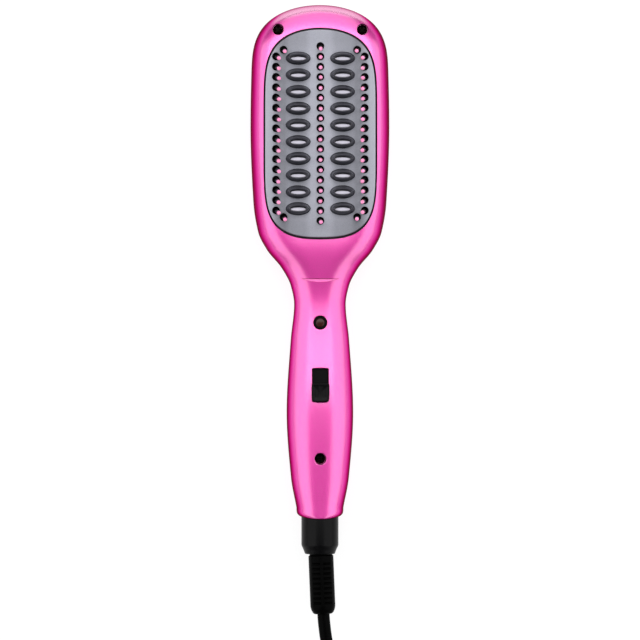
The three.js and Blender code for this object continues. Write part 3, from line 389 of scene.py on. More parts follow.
# The hank, counted in sixths of a loop: one runs down on the right, two fold round the
# bottom, one runs up on the left and two fold round the top. Folds are half circles
# whose radius shrinks loop by loop to the middle and grows again on the upper layer; the
# runs are straight lines drawn in and lifted by one cosine wave at the tie.
def hankLine(perLoop=48):
    run = lead["run"]
    loops = np.arange(0, lead["turns"] + 1e-9, 1 / perLoop)
    radius = lead["foldRadius"] + lead["pitch"] * np.abs(loops - lead["turns"] / 2)
    climb = np.clip((loops - lead["turns"] / 2) * 6, 0, 1)
    climb = climb * climb * (3 - 2 * climb)
    layer = lead["diameter"] / 2 + lead["aboveFloor"] + lead["layerStep"] * climb
    place = (loops % 1) * 6
    side = np.where((place < 1) | (place >= 5.999), 1, -1)
    bottom = place < 3
    onFold = ((place >= 1) & bottom) | (place >= 4)
    angle = np.where(bottom, 1 - place, 6 - place) * np.pi / 2
    down = np.where(place < 1, place, 4 - place)
    waist = (1 - np.cos(down * 2 * np.pi)) / 2
    fold = np.stack([radius * np.cos(angle), radius * np.sin(angle) - run * bottom, layer], 1)
    straight = np.stack([
        side * (radius - lead["waist"] * waist), -down * run, layer + lead["tieLift"] * waist,
    ], 1)
    return np.where(onFold[:, None], fold, straight) + (lead["centreX"], lead["top"], 0)


leadLine = smoothLine(np.r_[freeStretch, hankLine(), plugTail], lead["step"])
print("lead is", round(distances(leadLine)[-1]), "mm long")
cord = makeObject("mainsCord", [tubeAlong(leadLine, lead["diameter"] / 2, lead["sides"])])


# Housing form, shared by both shells

housing = {
    "bodyLength": 267.4,
    "headWidth": 72.2,
    "endWidth": 69.2,  # at the crown and at the shoulder
    "neckWidth": 26.8,
    "gripWidth": 34.6,
    "gripEndWidth": 24.4,
    "widestAt": 63.4,
    "shoulderAt": 102.4,
    "headFlatEnd": 123.4,
    "neckAt": 155.5,
    "gripAt": 211.6,
    # shares of the way from shoulder to neck, and of the width that is left there
    "throat": ((0, 1), (0.294, 0.882), (0.471, 0.663), (0.648, 0.304), (0.823, 0.08)),
    "gripStart": (0.333, 0.458),
    "gripTaper": (0.688, 0.554),
    "crownRound": 36.4,
    "crownSquareness": 3.3,
    "gripEndRound": 6.2,
    "gripEndSquareness": 4,
    "parting": 13.0,
    "partingGap": 0.3,
    "wall": 2.2,
    # at the crown, the head's flat end, the neck, the grip and the body's end
    "rise": (12.0, 12.0, 9.8, 13.0, 11.6),
    "depth": (13.35, 13.35, 11.0, 13.35, 11.6),
    "rearSquareness": (3.6, 3.6, 2.6, 2.4, 2.6),
    "sideLean": (2.0, 2.0, 0, 0, 0),  # how far the head's upper sides lean inwards
    "headSquareness": 12,
    "throatSquareness": ((-0.7, 12), (-0.15, 7.5), (0.3, 4.2), (0.65, 2.8), (1, 2.2)),
    "gripSquareness": (2.4, 2.6),
    "crownTipSquareness": 4.2,
    "crownSpine": 30.0,
    "gripEdge": 1.2,
    "gripEdgeSquareness": 4,
}
fineCounts = (90, 250, 36)  # points of an outline's side: at the crown, along it, at its end
coarseCounts = (60, 160, 20)
parting = housing["parting"]
bodyLength = housing["bodyLength"]


# Half the width at each station: a smooth curve through the widths that were measured.
def halfWidthCurve():
    h = housing
    throatAt, throatShare = np.array(h["throat"]).T
    taperEnd = bodyLength - h["gripEndRound"]
    places = [
        0, h["widestAt"], *between(h["shoulderAt"], h["neckAt"], throatAt), h["neckAt"],
        between(h["neckAt"], h["gripAt"], h["gripStart"][0]), h["gripAt"],
        between(h["gripAt"], taperEnd, h["gripTaper"][0]), taperEnd,
    ]
    widths = [
        h["endWidth"], h["headWidth"], *between(h["neckWidth"], h["endWidth"], throatShare),
        h["neckWidth"], between(h["neckWidth"], h["gripWidth"], h["gripStart"][1]),
        h["gripWidth"], between(h["gripEndWidth"], h["gripWidth"], h["gripTaper"][1]),
        h["gripEndWidth"],
    ]
    return smoothThrough(places, np.array(widths) / 2)


# How square the front is across: the same along the head, then falling to the grip's.
def frontSquarenessCurve():
    h = housing
    throatAt, squareness = np.array(h["throatSquareness"]).T
    places = between(h["headFlatEnd"], h["neckAt"], throatAt)
    return smoothThrough(
        [0, *places, h["gripAt"], bodyLength],
        [h["headSquareness"], *squareness, *h["gripSquareness"]])


halfWidth = halfWidthCurve()
frontSquareness = frontSquarenessCurve()
stations = [0, housing["headFlatEnd"], housing["neckAt"], housing["gripAt"], bodyLength]
rise, depth, rearSquareness, sideLean = (
    smoothThrough(stations, housing[name])
    for name in ("rise", "depth", "rearSquareness", "sideLean"))


# Half of the outline seen from above, crown to cord: the crown is a superellipse
# quarter, the sides follow the half width, and the end is a superellipse quarter too.
def outlineSide(crown, body, end):
    h = housing
    a = np.arange(crown) / crown * np.pi / 2
    crownAt = h["crownRound"] * (1 - np.cos(a) ** (2 / h["crownSquareness"]))
    bodyEnd = bodyLength - h["gripEndRound"]
    bodyAt = np.linspace(h["crownRound"], bodyEnd, body, endpoint=False)
    b = np.linspace(0, np.pi / 2, end)
    endAt = bodyLength - h["gripEndRound"] * (1 - np.sin(b) ** (2 / h["gripEndSquareness"]))
    side = np.r_[
        np.c_[halfWidth(crownAt) * np.sin(a), crownAt],
        np.c_[halfWidth(bodyAt), bodyAt],
        np.c_[halfWidth(endAt) * np.cos(b), endAt],
    ]
    side[-1, 0] = 0
    return side


# Both sides of the outline in one loop, moved inwards.
def outline(inset, counts):
    side = outlineSide(*counts)
    return offsetLoop(np.r_[side, side[-2:0:-1] * (-1, 1)], -inset)


# For each point of the outline: where its rib starts on the spine, how square the rib
# is, how far it leans inwards as a share of its length, and what is left of the height
# near the grip's end, which is rounded off over the last of its length.
def ribs(rim, upper, inset):
    spine = np.maximum(rim[:, 1], housing["crownSpine"])
    past = np.clip((rim[:, 1] + inset - bodyLength) / housing["gripEdge"] + 1, 0, 1)
    ending = (1 - past ** housing["gripEdgeSquareness"]) ** (1 / housing["gripEdgeSquareness"])
    if not upper:
        return spine, rearSquareness(spine), 0 * spine, ending
    toTip = np.clip(1 - rim[:, 1] / housing["crownSpine"], 0, None)
    squareness = between(frontSquareness(spine), housing["crownTipSquareness"], toTip)
    ribLength = np.maximum(np.hypot(rim[:, 0], rim[:, 1] - spine), housing["wall"])
    return spine, squareness, sideLean(spine) * (1 - toTip) / ribLength, ending


# Half of the housing's form, from the parting up or down. Each point of the outline is
# joined to the spine by a rib: across it goes as the sine to the power 2 / squareness
# of the turn, and up as the cosine times the rise or depth there. The head's sides lean
# inwards in step with their height. A skirt carries the rim on past the parting.
def halfForm(upper, inset=0, skirt=0, steps=40, counts=fineCounts):
    rim = outline(inset, counts)
    spine, squareness, leaning, ending = ribs(rim, upper, inset)
    turn = np.linspace(0, np.pi / 2, steps)[:, None]
    reach = np.sin(turn) ** (2 / squareness) * (1 - leaning * np.cos(turn))
    reach[0] = 0
    high = ending * ((rise(spine) if upper else depth(spine)) - inset)
    edge = housing["partingGap"] / 2
    height = edge + np.cos(turn) * np.maximum(high - edge, 0)
    x = rim[:, 0] * reach
    y = yAt(between(spine, rim[:, 1], reach))
    z = parting + (height if upper else -height)
    if not upper and inset == 0:
        z = np.maximum(z, 0)  # the flat that it rests on
    rings = np.stack([x, y, z], -1)
    if skirt:
        rings = np.r_[rings, rings[-1:] + (0, 0, -skirt if upper else skirt)]
    points, faces = stack(rings)
    return points, faces[:-2] + faces[-1:]  # the first ring lies on the spine, with no face


rimTable = outlineSide(90, 250, 30)
crownTable = rimTable[rimTable[:, 1] < housing["crownSpine"]]
crownBearing = np.arctan2(crownTable[:, 0], housing["crownSpine"] - crownTable[:, 1])
crownReach = np.hypot(crownTable[:, 0], housing["crownSpine"] - crownTable[:, 1])


# Height of the front's skin over any x and station: one less the share of the rib that
# it has run, to the power of the squareness, to the root of that power, times the rise.
# The lean depends on the height, so the share is settled in a few rounds.
def skin(x, station):
    spine = np.maximum(station, housing["crownSpine"])
    back = np.maximum(housing["crownSpine"] - station, 0)
    bearing = np.arctan2(np.abs(x), back)
    ribLength = np.where(back > 0, np.interp(bearing, crownBearing, crownReach), halfWidth(station))
    toTip = np.where(back > 0, ribLength * np.cos(bearing) / housing["crownSpine"], 0)
    power = between(frontSquareness(spine), housing["crownTipSquareness"], toTip)
    leaning = sideLean(spine) * (1 - toTip) / ribLength
    height = 1.0
    for settle in range(6):
        share = np.hypot(x, back) / ribLength / (1 - leaning * height)
        height = np.clip(1 - share**power, 0, 1) ** (1 / power)
    edge = housing["partingGap"] / 2
    return parting + edge + height * (rise(spine) - edge)


# Front shell

openings = {
    "windowLength": 109.6,
    "windowHalfWidth": 29.5,
    "windowAt": 67.1,
    "windowSquareness": (5.5, 2.05, 2.7),  # along, across at the crown, across at the neck
    "windowFloor": 15.0,
    "lip": 0.45,  # rounding of the window's rim
    "smallLip": 0.28,
    "lipTurn": 72,  # degrees of a quarter circle that the rounding takes
    "flare": (0.9, 0.6),  # how the cut leaves the skin: out and up
    "recessDiameter": 6.1,
    "recessFloor": 15.4,
    "recessWall": 1.2,
    "recessBase": 1.9,
    "screwBore": 1.7,
    "headScrewX": 21.86,
    "headScrewAt": 13.12,
    "gripScrewAt": 235.7,
    "ledAt": 165.1,
    "ledDiameter": 7.2,
    "switchAt": 197.4,
    "slotWidth": 8.6,
    "slotLength": 17.2,
    "slotCorner": 0.5,
    "crescentAt": 143.2,
    "crescentLength": 19.8,
    "crescentWidth": 1.9,
    "crescentDepth": 1.0,
    "crescentShallow": 0.27,
}
swivelSeat = {
    "from": 258.6,
    "ribEnd": 261.0,
    "boreRadius": 10.0,
    "journalRadius": 5.35,
    "lip": 0.4,
}
screwPlaces = [
    ("headScrewLeft", -openings["headScrewX"], openings["headScrewAt"]),
    ("headScrewRight", openings["headScrewX"], openings["headScrewAt"]),
    ("gripScrew", 0.0, openings["gripScrewAt"]),
]
below, above = -5, 60  # heights clear of the whole brush, for cuts that go through


# The window: a superellipse, squarer along than across, moved inwards evenly.
def plateOutline(inset, count=300):
    o = openings
    alongPower, crownPower, neckPower = o["windowSquareness"]
    t = around(6000)
    along = signedPower(np.sin(t), 2 / alongPower)
    across = signedPower(np.cos(t), 2 / np.where(np.sin(t) > 0, crownPower, neckPower))
    loop = np.c_[across * o["windowHalfWidth"], yAt(o["windowAt"]) + along * o["windowLength"] / 2]
    return offsetLoop(evenly(loop, count), -inset)


# A cutter for an opening: its wall goes straight up from the floor, then flares through
# most of a quarter circle of the lip's radius that meets the skin, and leaves it at a
# slant.
def openingCutter(loop, floor, lip):
    flareOut, flareUp = openings["flare"]
    top = skin(loop[:, 0], crownY - loop[:, 1])
    turns = np.linspace(0, math.radians(openings["lipTurn"]), 7)
    out = np.r_[lip * (1 - np.cos(turns)), lip + flareOut]
    up = np.r_[lip * (np.sin(turns) - 1), flareUp]
    return stack([
        atHeight(loop, floor),
        *[atHeight(offsetLoop(loop, o), top + u) for o, u in zip(out, up)],
        atHeight(offsetLoop(loop, out[-1]), above),
    ])


# A crescent groove: a straight edge towards the head and an arc towards the grip, with
# its floor a set depth under the skin and rising towards the arc. The level lines
# follow the skin.
def crescentCutter(count=60):
    o = openings
    half, drop = o["crescentLength"] / 2, o["crescentWidth"]
    radius = (half**2 + drop**2) / (2 * drop)
    x = np.linspace(-half, half, count)
    arc = np.sqrt(radius**2 - x**2) - (radius - drop)
    near = yAt(o["crescentAt"]) + drop / 2
    loop = np.r_[np.c_[x[::-1], near + 0 * x], np.c_[x[1:-1], near - arc[1:-1]]]
    top = skin(loop[:, 0], crownY - loop[:, 1])
    depth = o["crescentDepth"] * (1 - o["crescentShallow"] * (near - loop[:, 1]) / drop)
    # out from the outline and up from the skin: the floor, its rounding, the wall, the lip
    levels = [(-0.1, -depth), (0, 0.15 - depth), (0, -0.1), (0.35, 0.25), (0.35, 3)]
    return stack([atHeight(offsetLoop(loop, out), top + up) for out, up in levels])


# An upright round post: a circle carried up between two heights.
def post(x, station, radius, low, high):
    return turnedUp([(radius, low), (radius, high)], x, yAt(station), 32)


# The bores that the collar turns in: a wide one with a rounded mouth and a narrow one.
def swivelBores():
    s = swivelSeat
    start, wide, narrow, mouth = s["from"] - 5, s["boreRadius"], s["journalRadius"], bodyLength
    return turnedAlong([
        (0.0, start), (narrow, start), (narrow, s["ribEnd"]), (wide, s["ribEnd"]),
        (wide, mouth - s["lip"]), (wide + 0.12, mouth - 0.4 * s["lip"]),
        (wide + s["lip"], mouth), (wide + s["lip"], mouth + 8), (0.0, mouth + 8)], parting)


# The inside of a shell, less the posts and the solid end that stay standing in it.
def cavityCutter(upper, posts):
    start, end = swivelSeat["from"], bodyLength + 20
    solidEnd = square * (100, (end - start) / 2) + (0, yAt((start + end) / 2))
    cavity = cutter(halfForm(upper, housing["wall"], 3.0, 28, coarseCounts))
    kept = [cutter(one) for one in posts] + [cutter(prism(solidEnd, below, above))]
    return carve(cavity, kept)


# The upper half of the form, hollowed, with the window, the recesses with their screw
# holes, the indicator's hole, the switch's slot, the crescent and the bores cut out.
def frontShellPiece():
    o = openings
    radius, floor = o["recessDiameter"] / 2, o["recessFloor"]
    tubes = [
        post(x, at, radius + o["recessWall"], floor - o["recessBase"], above)
        for name, x, at in screwPlaces]
    slot = roundedLoop(0, o["switchAt"], o["slotWidth"], o["slotLength"], o["slotCorner"])
    led = circleLoop(0, o["ledAt"], o["ledDiameter"] / 2)
    cuts = [openingCutter(plateOutline(0), o["windowFloor"], o["lip"])]
    cuts += [
        openingCutter(circleLoop(x, at, radius), floor, o["smallLip"])
        for name, x, at in screwPlaces]
    cuts += [post(x, at, o["screwBore"], 0, 20) for name, x, at in screwPlaces]
    cuts += [openingCutter(loop, o["windowFloor"], o["smallLip"]) for loop in (led, slot)]
    cuts += [crescentCutter(), swivelBores()]
    shell = makeObject("frontShell", [halfForm(True)])
    cutters = [cavityCutter(True, tubes), *[cutter(cut) for cut in cuts]]
    return steady(carve(shell, cutters, sharpAngle=32))


frontShell = frontShellPiece()
print("front shell made,", len(frontShell.data.polygons), "faces")


# Rear shell

# posts that carry the inner parts, each as x, station, radius and top
rests = {
    "frame": [
        (s * 27.9, openings["windowAt"] + w * 26.0, 1.6, 19.7) for s in (-1, 1) for w in (-1, 1)],
    "shield": [(0, openings["windowAt"] + w * 27.0, 2.5, 7.7) for w in (-1, 1)],
    "board": [(0, at, 2.2, 11.7) for at in (171.0, 218.0)],
    "contact": [(7.4, 246.6, 1.4, 7.7), (-7.4, 251.6, 1.4, 7.7)],
}
boss = {
    "radius": 3.6,
    "top": 13.2,
    "boreFloor": 5.0,
}


# The lower half of the form, hollowed round its posts, with the posts joined to its
# floor and the screws' and the collar's bores cut out.
def rearShellPiece():
    posts = [place for places in rests.values() for place in places]
    posts += [(x, at, boss["radius"], boss["top"]) for name, x, at in screwPlaces]
    shell = makeObject("rearShell", [halfForm(False)])
    carve(shell, [cavityCutter(False, [post(*place[:3], below, above) for place in posts])])
    carve(shell, [cutter(post(*place[:3], 4.0, place[3])) for place in posts], "UNION")
    cuts = [
        post(x, at, openings["screwBore"], boss["boreFloor"], above) for name, x, at in screwPlaces]
    return steady(carve(shell, [cutter(cut) for cut in (*cuts, swivelBores())], sharpAngle=32))


rearShell = rearShellPiece()
print("rear shell made,", len(rearShell.data.polygons), "faces")


# Heated plate with its oval teeth

plate = {
    "gap": 0.8,
    "top": 24.3,
    "thickness": 2.4,
    "edge": 0.6,
    "holeDiameter": 3.9,
    "holeEdge": 0.25,
    "bossRadius": 2.4,
    "bossBore": 1.2,
    "bossBottom": 18.1,
    "bossX": 13.7,
    "bossAlong": 45.7,  # from the window's middle
}
teeth = {
    "count": 10,
    "pitch": 8.66,
    "x": 11.5,
    "length": 12.2,
    "width": 6.2,
    "height": 7.2,
    "foot": ((0.35, -0.2), (0.35, 0.02), (0.12, 0.12), (0.0, 0.42)),  # out and up
    "taper": 0.9,
    "wall": 0.7,
    "splay": 0.4,
    "floor": 4.0,
    "floorEdge": (0.25, 0.7),  # rounding into the floor: in and up
    "dish": 0.06,
    "floorTilt": 0.13,  # it looks a little towards the crown
    "floorBack": 0.35,  # and is set back towards the cord
    "rimLevels": (6, 10),  # the levels between which the rim takes a painted highlight
    "sides": 44,
}
pins = {
    "pitch": 5.32,
    "centreCount": 18,
    "sideCount": 16,
    "sideX": 23.0,
    "cornerX": 19.1,
    "cornerStep": 3.45,
    "diameter": 2.0,
    "rootSink": 0.5,  # into the strip
    "stem": ((1.12, 0), (1.08, 3)),  # shares of the radius at heights over the root
    "stemTop": 0.9,
    "tip": 34.9,
    "tipRound": 0.9,
    "tipStart": 33.1,  # the tips are pink from here up, the stems dark
    "leanStart": 0.2,
    "leftLean": (1.6, 1.4),  # tips across and towards the cord
    "rightLean": (-1.4, 1.1),
    "centreDrop": 0.8,
    "firstDrop": 2.0,
    "cornerShare": 0.4,
    "stray": 0.12,  # no two stand quite alike
    "stripLow": 18.1,
    "stripHigh": 19.7,
    "stripHalf": (2.9, 2.4),  # half the width of the centre strip and of a side strip
    "sides": 16,
}


# Stations of a row, evenly spaced about the window's middle.
def rowPlaces(count, pitch):
    return openings["windowAt"] + (np.arange(count) - (count - 1) / 2) * pitch


# Each pin of a column as x, station, and its tip's lean across and towards the cord.
def pinRow(side):
    p = pins
    if side == 0:
        at = rowPlaces(p["centreCount"], p["pitch"])
        drop = np.full(len(at), p["centreDrop"])
        drop[0] = p["firstDrop"]
        return np.stack([0 * at, at, 0 * at, drop], 1)
    column = rowPlaces(p["sideCount"], p["pitch"])
    across, drop = p["leftLean"] if side < 0 else p["rightLean"]
    at = np.r_[column[0] - p["cornerStep"], column, column[-1] + p["cornerStep"]]
    x = np.full(len(at), side * p["sideX"])
    x[[0, -1]] = side * p["cornerX"]
    leans = np.full(len(at), across)
    leans[[0, -1]] *= p["cornerShare"]
    return np.stack([x, at, leans, np.full(len(at), drop)], 1)


# One hollow oval tooth: a foot that flares into the plate, a wall that tapers to a
# rounded rim, and inside it a steeper wall down to a dished floor. Each level is an
# ellipse. It comes as its walls, its rim and its floor.
def toothShape():
    t = teeth
    across, along, soft = t["length"] / 2, t["width"] / 2, t["wall"] / 2
    wallTop, base = t["height"] - soft, plate["top"]
    inner = -t["taper"] - t["wall"]
    edgeIn, edgeUp = t["floorEdge"]
    levels = [*t["foot"], (-t["taper"] / t["height"] * wallTop, wallTop)]
    levels += [
        (-t["taper"] - soft + soft * math.cos(a), wallTop + soft * math.sin(a))
        for a in np.linspace(0, np.pi, 7)[1:]]
    levels += [
        (inner - t["splay"] * 0.8, t["floor"] + edgeUp),
        (inner - t["splay"] - edgeIn, t["floor"] + t["dish"])]
    a = around(t["sides"])
    rings = np.array([
        atHeight(np.c_[(across + out) * np.cos(a), (along + out) * np.sin(a)], base + z)
        for out, z in levels
    ])
    rings[-1, :, 2] -= t["floorTilt"] * rings[-1, :, 1]
    rings[-2:, :, 1] -= t["floorBack"] * np.array([[0.6], [1]])
    walls, faces = stack(rings)
    rimStart, rimEnd = (level * t["sides"] for level in t["rimLevels"])
    share = np.array([1, 0.75, 0.45, 0.02])[:, None, None]
    back = np.array([0, t["floorBack"], 0])
    oval = rings[-1] * (1, 1, 0) + back
    level = base + t["floor"] + t["dish"] * share**2 - t["floorTilt"] * oval[:, 1:2] * share
    floor, floorFaces = stack(share * oval - back + (0, 0, 1) * level)
    return (
        (walls, faces[:rimStart] + faces[rimEnd:-1]), (walls, faces[rimStart:rimEnd]),
        (floor, floorFaces[:-2] + floorFaces[-1:]))


# The plate: the window's outline moved in by the gap, with its upper and lower edges
# rounded through a quarter circle, a bevelled hole for each pin, the teeth on top and a
# short tube for each of the clamp's screws under it.
def platePiece():
    p = plate
    low, high, edge, bevel = p["top"] - p["thickness"], p["top"], p["edge"], p["holeEdge"]
    levels = [(edge * (1 - s), low + edge * (1 - c)) for c, s in quarter(6)]
    levels += [(edge * (1 - c), high - edge * (1 - s)) for c, s in quarter(6)]
    rings = [atHeight(plateOutline(p["gap"] + inset), z) for inset, z in levels]
    piece = makeObject("heatedPlate", [stack(rings)])
    radius = p["holeDiameter"] / 2
    hole = turnedUp([
        (radius, low - 1), (radius, high - bevel), (radius + 0.3 * bevel, high - 0.3 * bevel),
        (radius + bevel, high), (radius + bevel + 0.4, high + 0.4)], 0, 0, 30)
    rows = np.concatenate([pinRow(side) for side in (-1, 0, 1)])
    carve(piece, [cutter(repeated(hole, np.c_[rows[:, 0], yAt(rows[:, 1]), 0 * rows[:, 0]]))])
    toothAt = rowPlaces(teeth["count"], teeth["pitch"])
    places = [(side * teeth["x"], yAt(at), 0) for at in toothAt for side in (-1, 1)]
    walls, rim, floor = toothShape()
    tube = turnedUp([
        (p["bossBore"], p["bossBottom"]), (p["bossRadius"], p["bossBottom"]),
        (p["bossRadius"], low + 0.5)], 0, 0, 24)
    tubes = [
        (s * p["bossX"], yAt(openings["windowAt"] - w * p["bossAlong"]), 0)
        for s in (-1, 1) for w in (-1, 1)]
    # Slot 1, the teeth's walls, is painted shade; slots 3, the rims, and 2, the floors, are painted
    # highlights.
    return steady(joinInto(piece, makeObject("teeth", [
        (*repeated(walls, places), 1), (*repeated(rim, places), 3),
        (*repeated(floor, places), 2), repeated(tube, tubes)])))


heatedPlate = platePiece()
print("plate made,", len(heatedPlate.data.polygons), "faces")


# Bristles


# A column of pins on its backing strip. A pin tapers from its root to a round tip, and
# its upper part leans: each level is a circle moved along by the share of its height.
def bristleColumn(name, side):
    p = pins
    row = pinRow(side)
    root, middle = p["stripHigh"] - p["rootSink"], p["tipStart"]
    ball = p["tip"] - p["tipRound"]
    levels = [(share, root + up) for share, up in p["stem"]]
    levels += [(p["stemTop"], middle), (1.0, middle), (1.02, ball)]
    levels += [(c + 0.02, ball + p["tipRound"] * s) for c, s in quarter(5)[1:]]
    share, z = np.array(levels).T
    bend = (z - p["stripHigh"]) / (p["tip"] - p["stripHigh"])
    bend = np.maximum((bend - p["leanStart"]) / (1 - p["leanStart"]), -0.25)
    strays = np.random.default_rng(7).normal(0, p["stray"], (len(row), 2))
    strays = strays * np.clip(bend, 0, 1)[:, None, None]
    a = around(p["sides"])
    circles = share[:, None, None] * (np.stack([np.cos(a), np.sin(a)], 1) * p["diameter"] / 2)
    heights = np.broadcast_to(z[:, None, None], circles.shape[:2] + (1,))
    stemFaces = 3 * p["sides"]
    parts = []
    for i, (x, at, across, drop) in enumerate(row):
        centre = np.stack([x + across * bend, yAt(at + drop * bend)], 1) + strays[:, i]
        points, faces = stack(np.concatenate([centre[:, None] + circles, heights], -1))
        parts.append((points, faces[:stemFaces] + faces[-2:-1], 1))
        parts.append((points, faces[stemFaces:-2] + faces[-1:], 0))
    # Painted shade: the backing strips take the black second finish, for the dark seen down the
    # plate's holes.
    half = p["stripHalf"][0 if side == 0 else 1]
    spine = row[[0, -1]] if side == 0 else row[[0, 1, -2, -1]]
    line = np.stack([spine[:, 0], yAt(spine[:, 1])], 1)
    for first, last in zip(line[:-1], line[1:]):
        along = (last - first) / np.linalg.norm(last - first) * half
        out = np.array([-along[1], along[0]])
        first, last = first - along, last + along
        loop = np.array([first - out, last - out, last + out, first + out])
        parts.append((*prism(loop, p["stripLow"], p["stripHigh"]), 1))
    return makeObject(name, parts, 50)


bristles = {
    "bristle_strip_left": bristleColumn("bristlesLeft", -1),
    "bristle_strip_centre": bristleColumn("bristlesCentre", 0),
    "bristle_strip_right": bristleColumn("bristlesRight", 1),
}
print("bristles made")


# Screws

screwSizes = {
    "headDiameter": 5.2,
    "headHeight": 2.2,
    "domeHeight": 0.9,
    "shankDiameter": 2.8,
    "reach": 7.0,
    "crossLength": 3.3,
    "crossWidth": 0.85,
    "crossDepth": 1.2,
    "threadPitch": 1.1,
    "threadDepth": 0.28,
    "seat": 0.3,  # above the recess's floor
}


# A pan head whose edge is rounded and whose top is domed, a cross recess that narrows
# downwards, and a shank whose radius rises and falls with the thread.
def screwPiece(name, x, station):
    s = screwSizes
    low = openings["recessFloor"] + s["seat"]
    high = low + s["headHeight"]
    edge, rim = s["headDiameter"] / 2, high - s["domeHeight"]
    z = np.linspace(parting - s["reach"], low, 60)
    thread = np.abs(((z / s["threadPitch"]) % 1) * 2 - 1)
    shank = (s["shankDiameter"] / 2 - s["threadDepth"] * thread) * np.clip((z - z[0]) / 1.2, 0.3, 1)
    dome = [(edge * cos**0.45, rim + s["domeHeight"] * sin) for cos, sin in quarter(7)[:-1]]
    profile = [*zip(shank, z), (edge - 0.1, low), (edge, low + 0.15), *dome, (0.05, high)]
    piece = makeObject(name, [turnedUp(profile, x, yAt(station), 56)])
    levels = [(0.55, high - s["crossDepth"]), (1.0, high - 0.1), (1.05, high + 1)]
    long, narrow = s["crossLength"], s["crossWidth"]
    arms = [
        cutter(stack([
            atHeight(roundedLoop(x, station, width * k, length * k, 0.2 * k, 4), z)
            for k, z in levels]))
        for width, length in ((long, narrow), (narrow, long))]
    return steady(carve(piece, arms, sharpAngle=35))


screws = {
    node: screwPiece(*place)
    for node, place in zip(("head_screw_left", "head_screw_right", "grip_screw"), screwPlaces)
}
print("screws made")


# Indicator window

lens = {
    "radius": 3.25,
    "domeRadius": 2.35,
    "domeHeight": 0.5,
    "domeStart": 0.55,  # under the bezel's top, as are the next two
    "pocketDepth": 0.9,
    "glassDepth": 1.1,
    "bezelEdge": 0.25,
    "sink": 0.9,  # under the skin
    "rimRadius": 4.6,
    "rimHeight": 1.2,
    "underSkin": 3.2,  # from the skin down to the rim's top
}


# A turned bezel with a flat rim under the shell, and a domed glass set into it.
def lensPiece():
    s = lens
    skinAt = float(skin(0.0, openings["ledAt"]))
    top, dome, rim = skinAt - s["sink"], s["domeRadius"], s["rimRadius"]
    low, y = skinAt - s["underSkin"] - s["rimHeight"], yAt(openings["ledAt"])
    pocket, start = top - s["pocketDepth"], top - s["domeStart"]
    bezel = turnedUp(rounded([
        (0.05, low), (rim, low), (rim, low + s["rimHeight"]), (s["radius"], low + s["rimHeight"]),
        (s["radius"], top), (dome + s["bezelEdge"], top), (dome + 0.02, pocket), (0.05, pocket),
    ], 0.15), 0, y, 64)
    curve = [(dome * cos, start + s["domeHeight"] * sin) for cos, sin in quarter(8)[:-1]]
    glass = turnedUp([(dome, top - s["glassDepth"]), *curve, (0.03, top - 0.05)], 0, y, 64)
    return makeObject("indicatorLens", [(*bezel, 1), (*glass, 0)])


indicatorLens = lensPiece()


# Slide switch knob

knob = {
    "width": 9.3,
    "length": 9.55,
    "height": 2.4,
    "above": 0.3,  # over the skin
    "edge": 0.45,
    "restAt": 201.4,
    "squareness": (14.0, 6.0),  # towards the head and towards the cord
    "topRings": (0.86, 0.72, 0.55, 0.38, 0.2, 0.04),  # shares of the way out
    "ridges": 6,
    "ridgeDepth": 0.22,
    "ridgesTo": 0.8,
    "dish": 0.3,
    "stem": (8.0, 8.6, 0.3, 20.4),  # width, length, corner and bottom
    "flange": (11.0, 27.6, 0.6, 19.86, 21.06),
}


# The cap: its outline has small corners towards the head and larger ones towards the
# cord, its edge is rounded, and its top is dished with a row of fine ridges along it.
# A stem and a flange under the shell carry it.
def knobPiece():
    k, o = knob, openings
    ends = [skin(0.0, o["switchAt"] + way * o["slotLength"] / 2) for way in (-1, 1)]
    base = float(max(ends)) + k["above"]
    high, edge = base + k["height"], k["edge"]
    t = around(120)
    power = 2 / np.where(np.sin(t) > 0, *k["squareness"])
    unit = evenly(np.c_[signedPower(np.cos(t), power), signedPower(np.sin(t), power)], 120)
    half = np.array([k["width"] / 2, k["length"] / 2])
    levels = [(0.15, base), (0.0, base + 0.2)]
    levels += [(edge * (1 - c), high - edge * (1 - s)) for c, s in quarter(6)]
    rings = [atHeight(unit * (half - inset), z) for inset, z in levels]
    for share in k["topRings"]:
        flat = unit * (half - edge) * share
        ridge = np.cos(flat[:, 0] / k["width"] * 2 * np.pi * k["ridges"]) * 0.5 + 0.5
        ridge = k["ridgeDepth"] * ridge * (share < k["ridgesTo"])
        rings.append(atHeight(flat, high - k["dish"] * (1 - share**2) - ridge))
    cap = stack(np.array(rings) + (0, yAt(k["restAt"]), 0))
    *stem, stemLow = k["stem"]
    *flange, flangeLow, flangeHigh = k["flange"]
    return makeObject("switchKnob", [
        cap, prism(roundedLoop(0, k["restAt"], *stem), stemLow, base + 0.4),
        prism(roundedLoop(0, k["restAt"], *flange), flangeLow, flangeHigh)], 30)


switchKnob = knobPiece()
print("controls made")


# Swivel collar and strain relief

collar = {
    "radius": 9.65,
    "startAt": 261.5,
    "endAt": 285.4,
    "chamfer": ((0, 0), (1.2, 2.6), (1.9, 4.6)),  # inwards, and along from its start
    "journal": 5.0,
    "flange": 7.2,
    "flangeAt": (255.7, 258.1),
    "shaft": 3.2,
    "shaftEndAt": 243.6,
    "socket": 6.8,
    "socketDepth": 4.0,
}
boot = {
    "radius": 6.5,
    "pivotAt": 273.8,
    "root": 11.6,
    "length": 31.2,
    "lean": 2.3,  # degrees
    "insert": 3.4,
    "neckInset": 0.6,
    "neckEnd": (0.6, 0.9),
    "shoulder": ((0, 4.0), (0.35, 2.4), (1.1, 0.8)),  # inwards, and back from the end
    "tipRadius": 4.5,
    "holeRadius": 3.25,
    "holeDepth": 1.5,
    "ribs": 9,
    "firstSlot": 5.0,
    "pitch": 2.55,
    "slotWidth": 1.25,
    "slotDepth": 2.3,
    "spine": 1.7,
}


